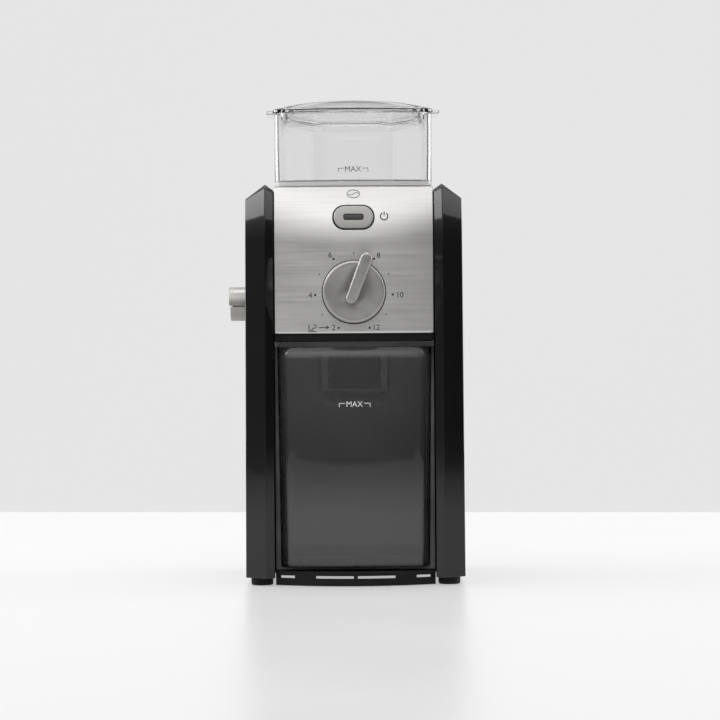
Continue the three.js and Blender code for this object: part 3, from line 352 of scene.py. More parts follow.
def capped(rings):
    """Skins a row of rings and closes both ends with a flat face."""
    rows, columns = len(rings), len(rings[0])
    faces = grid_faces(rows, columns).tolist()
    faces.append(list(range(columns))[::-1])
    faces.append(list(range((rows - 1) * columns, rows * columns)))
    return np.vstack(rings), faces


def raised_pad(width, height, radius, profile):
    """Rounded outlines stacked along w, each set in by the profile: (inset, w) pairs."""
    rings = []
    for inset, w in profile:
        outline = rounded_outline(width - 2 * inset, height - 2 * inset, max(radius - inset, 0.05))
        rings.append(at_height(outline, w))
    return capped(rings)


def turned(profile, columns=64):
    """A profile of (radius, w) pairs turned about the w axis."""
    radius, height = np.asarray(profile, float).T
    angle = np.linspace(0, 2 * np.pi, columns, endpoint=False)
    u = radius[:, None] * np.cos(angle)
    v = radius[:, None] * np.sin(angle)
    w = np.repeat(height[:, None], columns, axis=1)
    return np.stack([u, v, w], axis=-1).reshape(-1, 3), grid_faces(len(profile), columns)


def facing_front(points, origin, lean=0.0, turn=0.0):
    """Lays (u, v, w) on the front: u to the right, v up, w out of the face, turned clockwise."""
    u, v, w = np.asarray(points, float).T
    right = u * math.cos(turn) + v * math.sin(turn)
    up = v * math.cos(turn) - u * math.sin(turn)
    y = origin[1] + up * math.sin(lean) - w * math.cos(lean)
    z = origin[2] + up * math.cos(lean) + w * math.sin(lean)
    return np.column_stack([origin[0] + right, y, z])


def facing_left(points, origin):
    """Lays (u, v, w) on the left side: v up, w out to the left, u towards the front."""
    u, v, w = np.asarray(points, float).T
    return np.column_stack([origin[0] - w, origin[1] - u, origin[2] + v])


# ---------------------------------------------------------------- material helpers
def linear(hex_colour):
    """An sRGB hex colour as the linear red, green, blue and alpha that the shaders take."""
    channels = [int(hex_colour[i:i + 2], 16) / 255 for i in (1, 3, 5)]
    return [c / 12.92 if c <= 0.04045 else ((c + 0.055) / 1.055) ** 2.4 for c in channels] + [1.0]


def node(tree, kind, sockets=None, **settings):
    """Adds a node, sets its properties, and fills its sockets with values or other nodes' outputs."""
    made = tree.nodes.new(kind)
    for name, value in settings.items():
        setattr(made, name, value)
    for name, value in (sockets or {}).items():
        if isinstance(value, bpy.types.NodeSocket):
            tree.links.new(value, made.inputs[name])
        else:
            made.inputs[name].default_value = value
    return made


def new_finish(name, **shader_sockets):
    """A material with one principled shader; gives back the material, its tree and the shader."""
    finish = bpy.data.materials.new(name)
    finish.use_nodes = True
    tree = finish.node_tree
    shader = tree.nodes["Principled BSDF"]
    for socket, value in shader_sockets.items():
        shader.inputs[socket.replace("_", " ")].default_value = value
    return finish, tree, shader


def object_pattern(tree, size, stretch=(1, 1, 1), detail=3.0, roughness=0.5):
    """Noise on object coordinates whose grain is size mm, longer along the axes that are stretched."""
    place = node(tree, "ShaderNodeTexCoord").outputs["Object"]
    scale = [1 / (size * MM * s) for s in stretch]
    spread = node(tree, "ShaderNodeMapping", {"Vector": place, "Scale": scale})
    noise = node(tree, "ShaderNodeTexNoise", {
        "Vector": spread.outputs["Vector"], "Scale": 1.0, "Detail": detail, "Roughness": roughness})
    return noise.outputs["Fac"]


def ranged(tree, value, low, high, from_low=0.3, from_high=0.7):
    """Moves a 0 to 1 pattern to lie between two values."""
    return node(tree, "ShaderNodeMapRange", {
        "Value": value, "From Min": from_low, "From Max": from_high,
        "To Min": low, "To Max": high}).outputs["Result"]


def tinted(tree, value, dark, light):
    """Mixes two sRGB colours by a pattern."""
    share = ranged(tree, value, 0.0, 1.0)
    mix = node(tree, "ShaderNodeMix", {0: share, 6: linear(dark), 7: linear(light)}, data_type="RGBA")
    return mix.outputs[2]


def relief(tree, shader, value, depth, strength=1.0):
    """Lets a pattern stand depth mm proud in the shading."""
    bump = node(tree, "ShaderNodeBump", {"Height": value, "Strength": strength, "Distance": depth * MM})
    tree.links.new(bump.outputs["Normal"], shader.inputs["Normal"])
    return bump


def coloured(tree, shader, pattern, dark, light):
    """Lets a pattern run the surface colour between two sRGB colours."""
    tree.links.new(tinted(tree, pattern, dark, light), shader.inputs["Base Color"])


def dulled(tree, shader, pattern, smooth, rough):
    """Lets a pattern run the roughness between two values."""
    tree.links.new(ranged(tree, pattern, smooth, rough), shader.inputs["Roughness"])


def along_axis(tree, axis):
    """How far a point lies along one axis of the machine, in metres."""
    place = node(tree, "ShaderNodeTexCoord").outputs["Object"]
    return node(tree, "ShaderNodeSeparateXYZ", {"Vector": place}).outputs[axis]


# ---------------------------------------------------------------- finishes
def gloss_black_abs():
    """Piano-black ABS from a polished mould: deep, with a faint waviness and fine handling haze."""
    finish, tree, shader = new_finish("gloss_black_moulded_abs", IOR=1.54)
    haze = object_pattern(tree, 24, detail=5)
    fine = object_pattern(tree, 0.8, detail=2)
    coloured(tree, shader, haze, "#060607", "#09090a")
    dulled(tree, shader, haze, 0.05, 0.1)
    wave = object_pattern(tree, 9, detail=1)
    first = node(tree, "ShaderNodeBump", {"Height": wave, "Strength": 0.25, "Distance": 0.05 * MM})
    second = relief(tree, shader, fine, 0.004, 0.3)
    tree.links.new(first.outputs["Normal"], second.inputs["Normal"])
    return finish


def matte_black_abs():
    """ABS from a spark-eroded mould: a fine even grain that breaks up every highlight."""
    finish, tree, shader = new_finish("spark_eroded_black_abs", IOR=1.54, Specular_IOR_Level=0.22)
    grain = object_pattern(tree, 0.55, detail=2)
    patch = object_pattern(tree, 18, detail=4)
    coloured(tree, shader, patch, "#0c0c0d", "#121213")
    dulled(tree, shader, patch, 0.46, 0.6)
    relief(tree, shader, grain, 0.03, 0.6)
    return finish


def charcoal_abs():
    """Lightly polished ABS round the container: charcoal at the front rim, and painted paler further in,
    where the pale grey stands in for the light that reaches its walls through the container.
    """
    finish, tree, shader = new_finish("grey_abs_with_painted_light", IOR=1.54)
    patch = object_pattern(tree, 22, detail=4)
    grain = object_pattern(tree, 0.7, detail=2)
    # Painted light: the colour runs from charcoal at the front rim to pale grey 5 mm further in, standing in
    # for the light that shows through the container onto the liner.
    lit_liner_from, lit_liner_by = LINER_RIM_Y + 1, LINER_RIM_Y + 6
    painted_light_inward = ranged(tree, along_axis(tree, "Y"), 0.22, 0.54, lit_liner_from * MM, lit_liner_by * MM)
    patch_and_painted_light = node(tree, "ShaderNodeMath", {0: patch, 1: 0.2, 2: painted_light_inward}, operation="MULTIPLY_ADD").outputs[0]
    coloured(tree, shader, patch_and_painted_light, "#363638", "#bcbcbe")
    dulled(tree, shader, patch, 0.42, 0.55)
    relief(tree, shader, grain, 0.01, 0.25)
    return finish


def brushed_stainless():
    """Stainless sheet brushed from side to side: long fine streaks that drag each reflection upright."""
    finish, tree, shader = new_finish("brushed_stainless_sheet", Metallic=1.0, Anisotropic=0.65)
    # The real scratches are about 0.05 mm apart, too fine to show, so they are drawn 0.3 mm apart.
    streak = object_pattern(tree, 0.3, stretch=(90, 90, 1), detail=4, roughness=0.6)
    broad = object_pattern(tree, 1.4, stretch=(40, 40, 1), detail=3)
    cloud = object_pattern(tree, 28, detail=3)
    both = node(tree, "ShaderNodeMath", {0: streak, 1: broad}, operation="ADD").outputs[0]
    half = node(tree, "ShaderNodeMath", {0: both, 1: 0.5}, operation="MULTIPLY").outputs[0]
    coloured(tree, shader, half, "#cccbc9", "#dfdedc")
    worn = node(tree, "ShaderNodeMath", {0: half, 1: cloud}, operation="ADD").outputs[0]
    tree.links.new(ranged(tree, worn, 0.27, 0.38, 0.7, 1.3), shader.inputs["Roughness"])
    tangent = node(tree, "ShaderNodeTangent", direction_type="UV_MAP", uv_map="up the sheet")
    tree.links.new(tangent.outputs["Tangent"], shader.inputs["Tangent"])
    relief(tree, shader, streak, 0.012, 0.5)
    return finish


def satin_silver():
    """Satin chrome on moulded knobs: bead-blasted, softly shiny, slightly darker where it is handled."""
    finish, tree, shader = new_finish("satin_chromed_abs", Metallic=0.85)
    grain = object_pattern(tree, 0.35, detail=2)
    handled = object_pattern(tree, 7, detail=4)
    coloured(tree, shader, handled, "#a6a5a2", "#b1b0ad")
    dulled(tree, shader, handled, 0.34, 0.44)
    relief(tree, shader, grain, 0.012, 0.5)
    return finish


def turned_steel():
    """Bright turned steel: fine tool marks round the axis and a thin film of oil."""
    finish, tree, shader = new_finish("turned_bright_steel", Metallic=1.0)
    marks = object_pattern(tree, 0.3, stretch=(6, 6, 1), detail=3)
    film = object_pattern(tree, 5, detail=4)
    coloured(tree, shader, film, "#a5a6a9", "#bcbdbf")
    dulled(tree, shader, film, 0.22, 0.38)
    relief(tree, shader, marks, 0.012, 0.6)
    return finish


def burr_steel():
    """Hardened sintered steel: grey, slightly porous, with a dull polish."""
    finish, tree, shader = new_finish("hardened_burr_steel", Metallic=1.0)
    pores = object_pattern(tree, 0.5, detail=3)
    heat = object_pattern(tree, 9, detail=3)
    coloured(tree, shader, heat, "#7c7d7f", "#939496")
    dulled(tree, shader, pores, 0.38, 0.55)
    relief(tree, shader, pores, 0.03, 0.5)
    return finish


def enamelled_copper():
    """Copper wire under amber enamel, laid side by side: rows 0.8 mm apart with a clear gloss."""
    finish, tree, shader = new_finish("enamelled_copper_wire", Metallic=0.9, Coat_Weight=0.6)
    place = node(tree, "ShaderNodeTexCoord").outputs["Object"]
    wires = node(tree, "ShaderNodeTexWave", {
        "Vector": place, "Scale": 1 / (0.8 * MM) / (2 * math.pi), "Distortion": 0.6, "Detail": 2.0},
        wave_type="BANDS", bands_direction="Z").outputs["Fac"]
    coloured(tree, shader, wires, "#6f3517", "#b8703a")
    dulled(tree, shader, wires, 0.45, 0.28)
    relief(tree, shader, wires, 0.2, 0.8)
    return finish


def clear_san():
    """Water-clear SAN: glossy, faintly wavy, with hairline scuffs, and frosted below the walls' foot."""
    finish, tree, shader = new_finish("clear_moulded_san", IOR=1.57)
    shader.inputs["Base Color"].default_value = linear("#fdfdfd")
    wave = object_pattern(tree, 14, detail=2)
    scuff = object_pattern(tree, 1.2, stretch=(1, 1, 8), detail=4)
    height = along_axis(tree, "Z")
    frost_end = DECK_TOP + 3.2
    tree.links.new(ranged(tree, height, 0.3, 1.0, (frost_end - 0.6) * MM, frost_end * MM),
                   shader.inputs["Transmission Weight"])
    frosted = ranged(tree, height, 0.45, 0.0, (frost_end - 0.6) * MM, frost_end * MM)
    scuffed = ranged(tree, scuff, 0.0, 0.05, 0.55, 0.8)
    dull = node(tree, "ShaderNodeMath", {0: frosted, 1: scuffed}, operation="ADD").outputs[0]
    tree.links.new(dull, shader.inputs["Roughness"])
    relief(tree, shader, wave, 0.04, 0.3)
    return finish


def smoked_san():
    """Smoke-tinted SAN: see-through grey, with painted light that makes its upper part cloudier and lighter
    grey.
    """
    finish, tree, shader = new_finish("smoked_moulded_san", IOR=1.57)
    height = along_axis(tree, "Z")
    cloud = object_pattern(tree, 26, detail=3)
    # Painted light: from 55 mm up to 135 mm the shell grows less clear and so lighter grey, standing in for
    # the lighter upper band the light gives there. Here film names that painted light, and the cloud adds
    # random tone on top.
    painted_light_low, painted_light_high = 55, 135
    film = ranged(tree, height, 0.0, 1.0, painted_light_low * MM, painted_light_high * MM)
    cloud_and_painted_light = node(tree, "ShaderNodeMath", {0: cloud, 1: 0.25, 2: film}, operation="MULTIPLY_ADD").outputs[0]
    coloured(tree, shader, cloud_and_painted_light, "#c2c2c4", "#cacacc")
    tree.links.new(ranged(tree, cloud_and_painted_light, 0.985, 0.95, 0.1, 1.1), shader.inputs["Transmission Weight"])
    tree.links.new(ranged(tree, cloud_and_painted_light, 0.02, 0.05, 0.1, 1.1), shader.inputs["Roughness"])
    wave = object_pattern(tree, 14, detail=2)
    relief(tree, shader, wave, 0.03, 0.2)
    return finish


def lens_tint():
    """Dark tinted lens over the power lamp, with a matt inner face that hides the lamp when it is off."""
    finish, tree, shader = new_finish("tinted_polycarbonate", IOR=1.58, Transmission_Weight=0.15)
    cell = object_pattern(tree, 0.9, detail=2)
    coloured(tree, shader, cell, "#2b2b2d", "#343436")
    dulled(tree, shader, cell, 0.2, 0.3)
    relief(tree, shader, cell, 0.01, 0.3)
    return finish


def black_rubber():
    """Soft black rubber, dull, with moulding talc caught in its grain."""
    finish, tree, shader = new_finish("moulded_black_rubber", IOR=1.52, Specular_IOR_Level=0.3)
    grain = object_pattern(tree, 0.6, detail=3)
    dust = object_pattern(tree, 5, detail=5)
    coloured(tree, shader, dust, "#131314", "#1e1e1f")
    dulled(tree, shader, dust, 0.7, 0.9)
    relief(tree, shader, grain, 0.05, 0.6)
    return finish


def natural_nylon():
    """Unpigmented nylon: warm white, waxy, light goes a little way into it."""
    finish, tree, shader = new_finish("natural_moulded_nylon", IOR=1.53, Subsurface_Weight=0.15,
                                      Subsurface_Scale=0.002)
    cloud = object_pattern(tree, 8, detail=4)
    coloured(tree, shader, cloud, "#cfcabb", "#dcd8cb")
    dulled(tree, shader, cloud, 0.42, 0.55)
    grain = object_pattern(tree, 0.8, detail=2)
    relief(tree, shader, grain, 0.02, 0.4)
    return finish


def circuit_board():
    """Epoxy glass board: green solder mask over copper tracks, which stand a little proud."""
    finish, tree, shader = new_finish("solder_masked_board", IOR=1.55, Coat_Weight=0.4)
    place = node(tree, "ShaderNodeTexCoord").outputs["Object"]
    tracks = node(tree, "ShaderNodeTexVoronoi", {"Vector": place, "Scale": 1 / (5 * MM)},
                  distance="MANHATTAN", feature="F1").outputs["Distance"]
    edges = node(tree, "ShaderNodeMath", {0: tracks, 1: 6.0}, operation="MULTIPLY").outputs[0]
    lanes = node(tree, "ShaderNodeMath", {0: edges}, operation="FRACT").outputs[0]
    coloured(tree, shader, lanes, "#174a2c", "#2b6b40")
    dulled(tree, shader, lanes, 0.3, 0.45)
    relief(tree, shader, lanes, 0.05, 0.4)
    return finish


def printed_ink(name, dark, light):
    """Pad-printed ink: a flat opaque film with a slightly broken surface."""
    finish, tree, shader = new_finish(name, IOR=1.5)
    film = object_pattern(tree, 0.4, detail=3)
    coloured(tree, shader, film, dark, light)
    dulled(tree, shader, film, 0.4, 0.6)
    return finish


FINISHES = {
    "gloss_black_abs": gloss_black_abs(),
    "matte_black_abs": matte_black_abs(),
    "charcoal_abs": charcoal_abs(),
    "brushed_stainless": brushed_stainless(),
    "satin_silver": satin_silver(),
    "turned_steel": turned_steel(),
    "burr_steel": burr_steel(),
    "enamelled_copper": enamelled_copper(),
    "clear_san": clear_san(),
    "smoked_san": smoked_san(),
    "lens_tint": lens_tint(),
    "black_rubber": black_rubber(),
    "natural_nylon": natural_nylon(),
    "circuit_board": circuit_board(),
}
DARK_INK = printed_ink("dark_pad_print", "#2a2a2c", "#343436")
GREY_INK = printed_ink("grey_pad_print", "#555557", "#606062")
WHITE_INK = printed_ink("white_pad_print", "#e2e2e0", "#efefed")


# ---------------------------------------------------------------- casing
def side_panel(side, name):
    """The outline carried through layers: up out of the hollow, over the inner facet and the ridge, and
    down the bevel to the flat outer face, which leans in a little towards the top."""
    deep = OUTER_BEVEL + PANEL_WALL
    layers = [
        (HALF_WIDTH - PANEL_WALL, deep, PANEL_BOTTOM + PANEL_WALL),
        (PANEL_INNER_X, deep, PANEL_BOTTOM + PANEL_WALL),
        (PANEL_INNER_X, INNER_FACET, PANEL_BOTTOM),
        (RIDGE_X, 0, PANEL_BOTTOM),
        (HALF_WIDTH, OUTER_BEVEL, PANEL_BOTTOM),
    ]
    rings = []
    for x, inset, bottom in layers:
        outline = panel_outline(inset, bottom)
        height = (outline[:, 1] - PANEL_BOTTOM) / (PANEL_TOP - PANEL_BOTTOM)
        lean = PANEL_DRAFT * height * (x - PANEL_INNER_X) / (HALF_WIDTH - PANEL_INNER_X)
        rings.append(np.column_stack([side * (x - lean), outline]))
    points, faces = capped(rings)
    panel = make_piece(name + "_finished", points, faces, FINISHES["gloss_black_abs"], "housing",
                       [name], angle=12)
    round_edges(panel, 0.45, 3, 12)


def front_fascia():
    """A sheet in polar rows about the button: each ray runs from the button's slot to the sheet's edge,
    and every point is pushed onto the bowed and bent front."""
    middle = (FASCIA_TOP + FASCIA_BOTTOM) / 2
    edge = rounded_outline(2 * FRONT_HALF, FASCIA_TOP - FASCIA_BOTTOM, 0.6, 4, 90)
    edge = edge + (0, middle - BUTTON_Z)
    slot = rounded_outline(BUTTON_WIDTH + 2 * BUTTON_SLOT, BUTTON_HEIGHT + 2 * BUTTON_SLOT,
                           BUTTON_RADIUS + BUTTON_SLOT, 40, 20) * (1, math.cos(BUTTON_LEAN))
    ray = np.arctan2(edge[:, 1], edge[:, 0])
    slot_ray = np.arctan2(slot[:, 1], slot[:, 0])
    reach = np.interp(ray, slot_ray[np.argsort(slot_ray)], np.hypot(*slot.T)[np.argsort(slot_ray)],
                      period=2 * math.pi)
    start = np.column_stack([np.cos(ray), np.sin(ray)]) * reach[:, None]
    share = np.linspace(0, 1, 70)[:, None, None] ** 1.3
    flat = start * (1 - share) + edge * share
    x = flat[..., 0]
    z = BUTTON_Z + flat[..., 1]
    points = np.stack([x, fascia_y(x, z), z], axis=-1)
    sheet = make_piece("front_fascia_finished", points, grid_faces(70, len(edge)),
                       FINISHES["brushed_stainless"], "housing", ["front_fascia"],
                       angle=40, facing=(0, -1, 0))
    place = np.zeros(len(sheet.data.vertices) * 3)
    sheet.data.vertices.foreach_get("co", place)
    place = place.reshape(-1, 3)
    corners = np.zeros(len(sheet.data.loops), dtype=int)
    sheet.data.loops.foreach_get("vertex_index", corners)
    up = np.column_stack([place[:, 2], -place[:, 0]])[corners]
    sheet.data.uv_layers.new(name="up the sheet").data.foreach_set("uv", up.ravel())
    give_wall(sheet, SHEET)


side_panel(-1, "left_side_panel")
side_panel(1, "right_side_panel")
front_fascia()


# ---------------------------------------------------------------- controls
def power_button():
    """Rounded pad with a softened rim; its face runs in to the lens and drops into the lens well."""
    stages = [(0.1, -4.6), (0.1, 0.3), (0.16, 0.5), (0.35, 0.66), (0.7, 0.72)]
    rings = []
    for inset, w in stages:
        rings.append(at_height(rounded_outline(
            BUTTON_WIDTH - 2 * inset, BUTTON_HEIGHT - 2 * inset, BUTTON_RADIUS - inset), w))
    well = rounded_outline(LENS_WIDTH + 0.5, LENS_HEIGHT + 0.5, 1.3)
    rings.extend([at_height(well, 0.72), at_height(well * 0.985, 0.6), at_height(well * 0.98, -1.0)])
    points, faces = capped(rings)
    origin = (0, float(fascia_y(0, BUTTON_Z)), BUTTON_Z)
    make_piece("power_button_finished", facing_front(points, origin, BUTTON_LEAN), faces,
               FINISHES["satin_silver"], "power_button", ["power_button"])
    points, faces = raised_pad(LENS_WIDTH, LENS_HEIGHT, 1.05,
                               [(0, -4.0), (0, 0.3), (0.12, 0.45), (0.35, 0.55), (0.8, 0.6)])
    make_piece("power_lens_finished", facing_front(points, origin, BUTTON_LEAN), faces,
               FINISHES["lens_tint"], "power_button", ["power_lens"])


def knob_face(u, v):
    """Height of the knob's dished face: a shallow bowl that deepens beside the grip bar."""
    radius = np.hypot(u, v)
    bowl = 1.1 * (1 - np.clip(radius / 14.8, 0, 1) ** 2)
    along = np.clip((v - GRIP_INNER) / 6, 0, 1)
    beside = 1.6 * np.exp(-(np.abs(u) / 6.5) ** 2) * along * (1 - np.clip(radius / 15.5, 0, 1) ** 3)
    return KNOB_DISC - bowl - beside


def cup_selector():
    """A dished disc turned about its axis, with a tapering bar across it that overhangs the rim."""
    columns = 128
    angle = np.linspace(0, 2 * np.pi, columns, endpoint=False)
    side = np.array([(0, 0.6), (15.9, 0.6), (16.5, 0.8), (KNOB_RADIUS, 1.4), (KNOB_RADIUS, 5.9),
                     (16.66, 6.7), (16.2, 7.3), (15.5, 7.56)])
    inner = np.linspace(14.8, 0, 26)
    radius = np.concatenate([side[:, 0], inner])
    u = radius[:, None] * np.cos(angle)
    v = radius[:, None] * np.sin(angle)
    w = np.repeat(np.concatenate([side[:, 1], np.zeros(len(inner))])[:, None], columns, axis=1)
    w[len(side):] = knob_face(u[len(side):], v[len(side):])
    disc = np.stack([u, v, w], axis=-1).reshape(-1, 3)
    origin = (0, float(fascia_y(0, KNOB_Z)), KNOB_Z)
    make_piece("cup_selector_disc", facing_front(disc, origin, turn=KNOB_REST),
               grid_faces(len(radius), columns), FINISHES["satin_silver"], "cup_selector",
               ["cup_selector_knob"], angle=40)
    length = GRIP_OUTER - GRIP_INNER
    profile = [(0, 2.2), (0.0, 6.0), (0.1, 11.6), (0.25, 12.5), (0.55, 13.1), (0.95, 13.4),
               (1.5, KNOB_HEIGHT)]
    points, faces = raised_pad(2 * GRIP_HALF, length, GRIP_HALF, profile)
    narrowing = 0.9 + 0.1 * np.clip((points[:, 1] + length / 2) / length, 0, 1)
    points = points * np.column_stack([narrowing, np.ones(len(points)), np.ones(len(points))])
    points = points + (0, (GRIP_INNER + GRIP_OUTER) / 2, 0)
    make_piece("cup_selector_grip", facing_front(points, origin, turn=KNOB_REST), faces,
               FINISHES["satin_silver"], "cup_selector", (), angle=40)


def cut_circle(radius, chord, upper):
    """A circle's part above or below a level chord, anticlockwise."""
    start = math.asin(chord / radius)
    if upper:
        return np.vstack([arc((0, 0), radius, start, math.pi - start, 60),
                          line((-radius * math.cos(start), chord), (radius * math.cos(start), chord), 12)])
    return np.vstack([arc((0, 0), radius, math.pi - start, 2 * math.pi + start, 60),
                      line((radius * math.cos(start), chord), (-radius * math.cos(start), chord), 12)])


def fineness_selector():
    """A disc split by a groove into a tall upper part and a lower part, each with softened edges."""
    origin = (-HALF_WIDTH - 0.8, BURR_Y, FINENESS_Z)
    groove = 0.25
    chord = -1.3
    parts = [("upper", True, chord + groove, 11.0), ("lower", False, chord - groove, 10.2)]
    for word, upper, edge, reach in parts:
        sign = 1 if upper else -1
        rings = []
        for inset, w in ((0.3, 0), (0, 0.3), (0.05, reach - 0.7), (0.2, reach - 0.2), (0.6, reach)):
            outline = cut_circle(FINENESS_KNOB_RADIUS - inset, edge + sign * min(inset, 0.4), upper)
            rings.append(at_height(outline, w))
        points, faces = capped(rings)
        make_piece(f"fineness_knob_{word}", facing_left(points, origin), faces, FINISHES["satin_silver"],
                   "fineness_selector", ["fineness_knob"])
    core = FINENESS_KNOB_RADIUS - 0.5
    points, faces = turned([(0, 0.2), (core, 0.2), (core, 8.8), (0, 8.8)])
    make_piece("fineness_knob_core", facing_left(points, origin), faces, FINISHES["matte_black_abs"],
               "fineness_selector", ())


def knob_shadow_ring():
    """A flat black ring on the fascia, painted shade that shows as the thin dark shadow gap round the knob.
    """
    angle = np.linspace(0, 2 * np.pi, 120, endpoint=False)
    radius = np.array([14.0, 15.5, 16.6, KNOB_RADIUS + 0.55])[:, None]
    x = radius * np.cos(angle)
    z = KNOB_Z + radius * np.sin(angle)
    points = np.stack([x, fascia_y(x, z) - 0.12, z], axis=-1)
    make_piece("cup_selector_shadow_ring", points, grid_faces(4, 120), FINISHES["matte_black_abs"], "housing",
               (), facing=(0, -1, 0))


power_button()
cup_selector()
knob_shadow_ring()
fineness_selector()


# ---------------------------------------------------------------- container, hopper and lids
def grounds_container():
    """Plans stacked from the middle of the floor, round its edge and up the drafted wall to the rim; the
    quads in the inlet are left out and the sheet is thickened inwards."""
    floor = at_height(container_plan(container_half(CONTAINER_FLOOR), 1.6), CONTAINER_FLOOR)
    rings = [shrunk(floor, share) for share in (0.0, 0.35, 0.7, 0.9)]
    for inset, rise in ((1.6, 0), (0.7, 0.3), (0.2, 0.9), (0, 1.7)):
        z = CONTAINER_FLOOR + rise
        rings.append(at_height(container_plan(container_half(z), inset), z))
    below_inlet = np.linspace(20, INLET_BOTTOM, 10)
    beside_inlet = np.linspace(INLET_BOTTOM, CONTAINER_RIM, 5)[1:]
    for z in np.concatenate([below_inlet, beside_inlet]):
        rings.append(at_height(container_plan(container_half(z), 0), z))
    points = np.vstack(rings)
    faces = grid_faces(len(rings), len(rings[0]))
    centres = points[faces].mean(axis=1)
    in_inlet = ((centres[:, 2] > INLET_BOTTOM) & (np.abs(centres[:, 0]) < INLET_HALF)
                & (centres[:, 1] > CONTAINER_BACK_Y - 1))
    shell = make_piece("grounds_container_finished", points, faces[~in_inlet], FINISHES["smoked_san"],
                       "container", ["grounds_container"], angle=40)
    give_wall(shell, CONTAINER_WALL)


def throat_ring(z, radius, columns):
    """A circle about the burrs' axis whose points follow the plan's points in turn."""
    first = hopper_plan(LEDGE_INSET)[0] - (0, BURR_Y)
    start = math.atan2(first[1], first[0])
    angle = start + np.linspace(0, 2 * np.pi, columns, endpoint=False)
    return np.column_stack([radius * np.cos(angle), BURR_Y + radius * np.sin(angle), np.full(columns, z)])


def bean_hopper():
    """Rings from the throat out over the sloping floor, round the shoulder and up the flared wall, then
    back down a wall's thickness inside, closed on themselves."""
    shoulder = DECK_TOP + 0.3
    columns = len(hopper_plan(0))
    outside = [
        throat_ring(THROAT_Z, THROAT_RADIUS, columns),
        throat_ring(THROAT_Z + 6, THROAT_RADIUS, columns),
        at_height(hopper_plan(LEDGE_INSET), shoulder - 4),
        at_height(hopper_plan(LEDGE_INSET), shoulder),
        at_height(hopper_plan(0.6), shoulder),
        at_height(hopper_plan(0.2), shoulder + 0.4),
        at_height(hopper_plan(0.1), (shoulder + RIM_Z) / 2),
        at_height(hopper_plan(0), RIM_Z - 0.3),
        at_height(hopper_plan(0.3), RIM_Z),
    ]
    wall = HOPPER_WALL
    inside = [
        at_height(hopper_plan(wall - 0.3), RIM_Z),
        at_height(hopper_plan(wall), RIM_Z - 0.3),
        at_height(hopper_plan(0.1 + wall), (shoulder + RIM_Z) / 2),
        at_height(hopper_plan(0.5 + wall), shoulder + wall + 1.5),
        at_height(hopper_plan(1.6 + wall), shoulder + wall + 0.3),
        at_height(hopper_plan(LEDGE_INSET + wall), shoulder + wall - 0.4),
        at_height(hopper_plan(LEDGE_INSET + 1 + wall), shoulder - 3),
        throat_ring(THROAT_Z + 7, THROAT_RADIUS - wall, columns),
        throat_ring(THROAT_Z, THROAT_RADIUS - wall, columns),
    ]
    rings = outside + inside
    make_piece("bean_hopper_finished", np.vstack(rings), grid_faces(len(rings), columns, close=True),
               FINISHES["clear_san"], "hopper", ["bean_hopper"], angle=38)


def hopper_lid():
    """From the crown out over a parabolic dome to the flange, round its edge, down and up the skirt that
    drops inside the rim, and back under the dome."""
    low = RIM_Z + 0.3
    thick = 2.0
    rise = LID_PEAK_Z - low - thick
    plan = hopper_plan(-LID_OVERHANG)
    scales = np.concatenate([[0.0, 0.03], np.linspace(0.08, 0.97, 22), [0.99]])
    crown = np.array([0, -22.0])

    def dome(scale, base):
        """The plan drawn in towards the crown, at the parabola's height there."""
        return at_height(crown + (plan - crown) * scale, base + rise * (1 - scale ** 2))

    rings = [dome(scale, low + thick) for scale in scales]
    rings.append(at_height(hopper_plan(-LID_OVERHANG), low + thick - 0.35))
    rings.append(at_height(hopper_plan(-LID_OVERHANG), low + 0.3))
    rings.append(at_height(hopper_plan(-0.5), low))
    rings.append(at_height(hopper_plan(HOPPER_WALL + 0.5), low))
    rings.append(at_height(hopper_plan(HOPPER_WALL + 0.5), low - 4))
    rings.append(at_height(hopper_plan(HOPPER_WALL + 2.0), low - 4))
    rings.append(at_height(hopper_plan(HOPPER_WALL + 2.0), low))
    inner_scales = scales[scales < 0.9][::-1]
    rings.extend(dome(scale, low - 0.2) for scale in inner_scales)
    make_piece("hopper_lid_finished", np.vstack(rings), grid_faces(len(rings), len(plan)),
               FINISHES["clear_san"], "hopper_lid", ["hopper_lid"], angle=38)
    edge = [(0.3, low), (0, low + 0.3), (0, low + 1.5), (0.3, low + 1.8)]
    for side, word in ((-1, "left"), (1, "right")):
        points, faces = raised_pad(4.4, 30, 0.8, edge)
        points = points + (side * TAB_X, TAB_Y, 0)
        tab = make_piece(f"hopper_lid_tab_{word}", points, faces, FINISHES["clear_san"], "hopper_lid",
                         ())
        round_edges(tab, 0.2)


grounds_container()
bean_hopper()
hopper_lid()


# ---------------------------------------------------------------- printed marks
def ribbon(points, width, closed=False):
    """A flat strip along a line of (u, v) points, offset to both sides along the mitred normals."""
    points = np.asarray(points, float)
    ahead = np.roll(points, -1, axis=0) - points
    behind = points - np.roll(points, 1, axis=0)
    if not closed:
        ahead[-1] = behind[-1]
        behind[0] = ahead[0]
    ahead /= np.linalg.norm(ahead, axis=1)[:, None]
    behind /= np.linalg.norm(behind, axis=1)[:, None]
    normal = np.column_stack([-(ahead + behind)[:, 1], (ahead + behind)[:, 0]])
    normal /= np.linalg.norm(normal, axis=1)[:, None]
    across = np.column_stack([-ahead[:, 1], ahead[:, 0]])
    mitre = width / 2 / np.clip((normal * across).sum(axis=1), 0.3, None)
    left = points + normal * mitre[:, None]
    right = points - normal * mitre[:, None]
    count = len(points)
    step = np.arange(count if closed else count - 1)
    after = (step + 1) % count
    return np.vstack([left, right]), np.stack([step, after, after + count, step + count], axis=1).tolist()


def disc_mark(centre, radius, count=20):
    """A filled dot."""
    return arc(centre, radius, 0, 2 * math.pi, count), [list(range(count))]


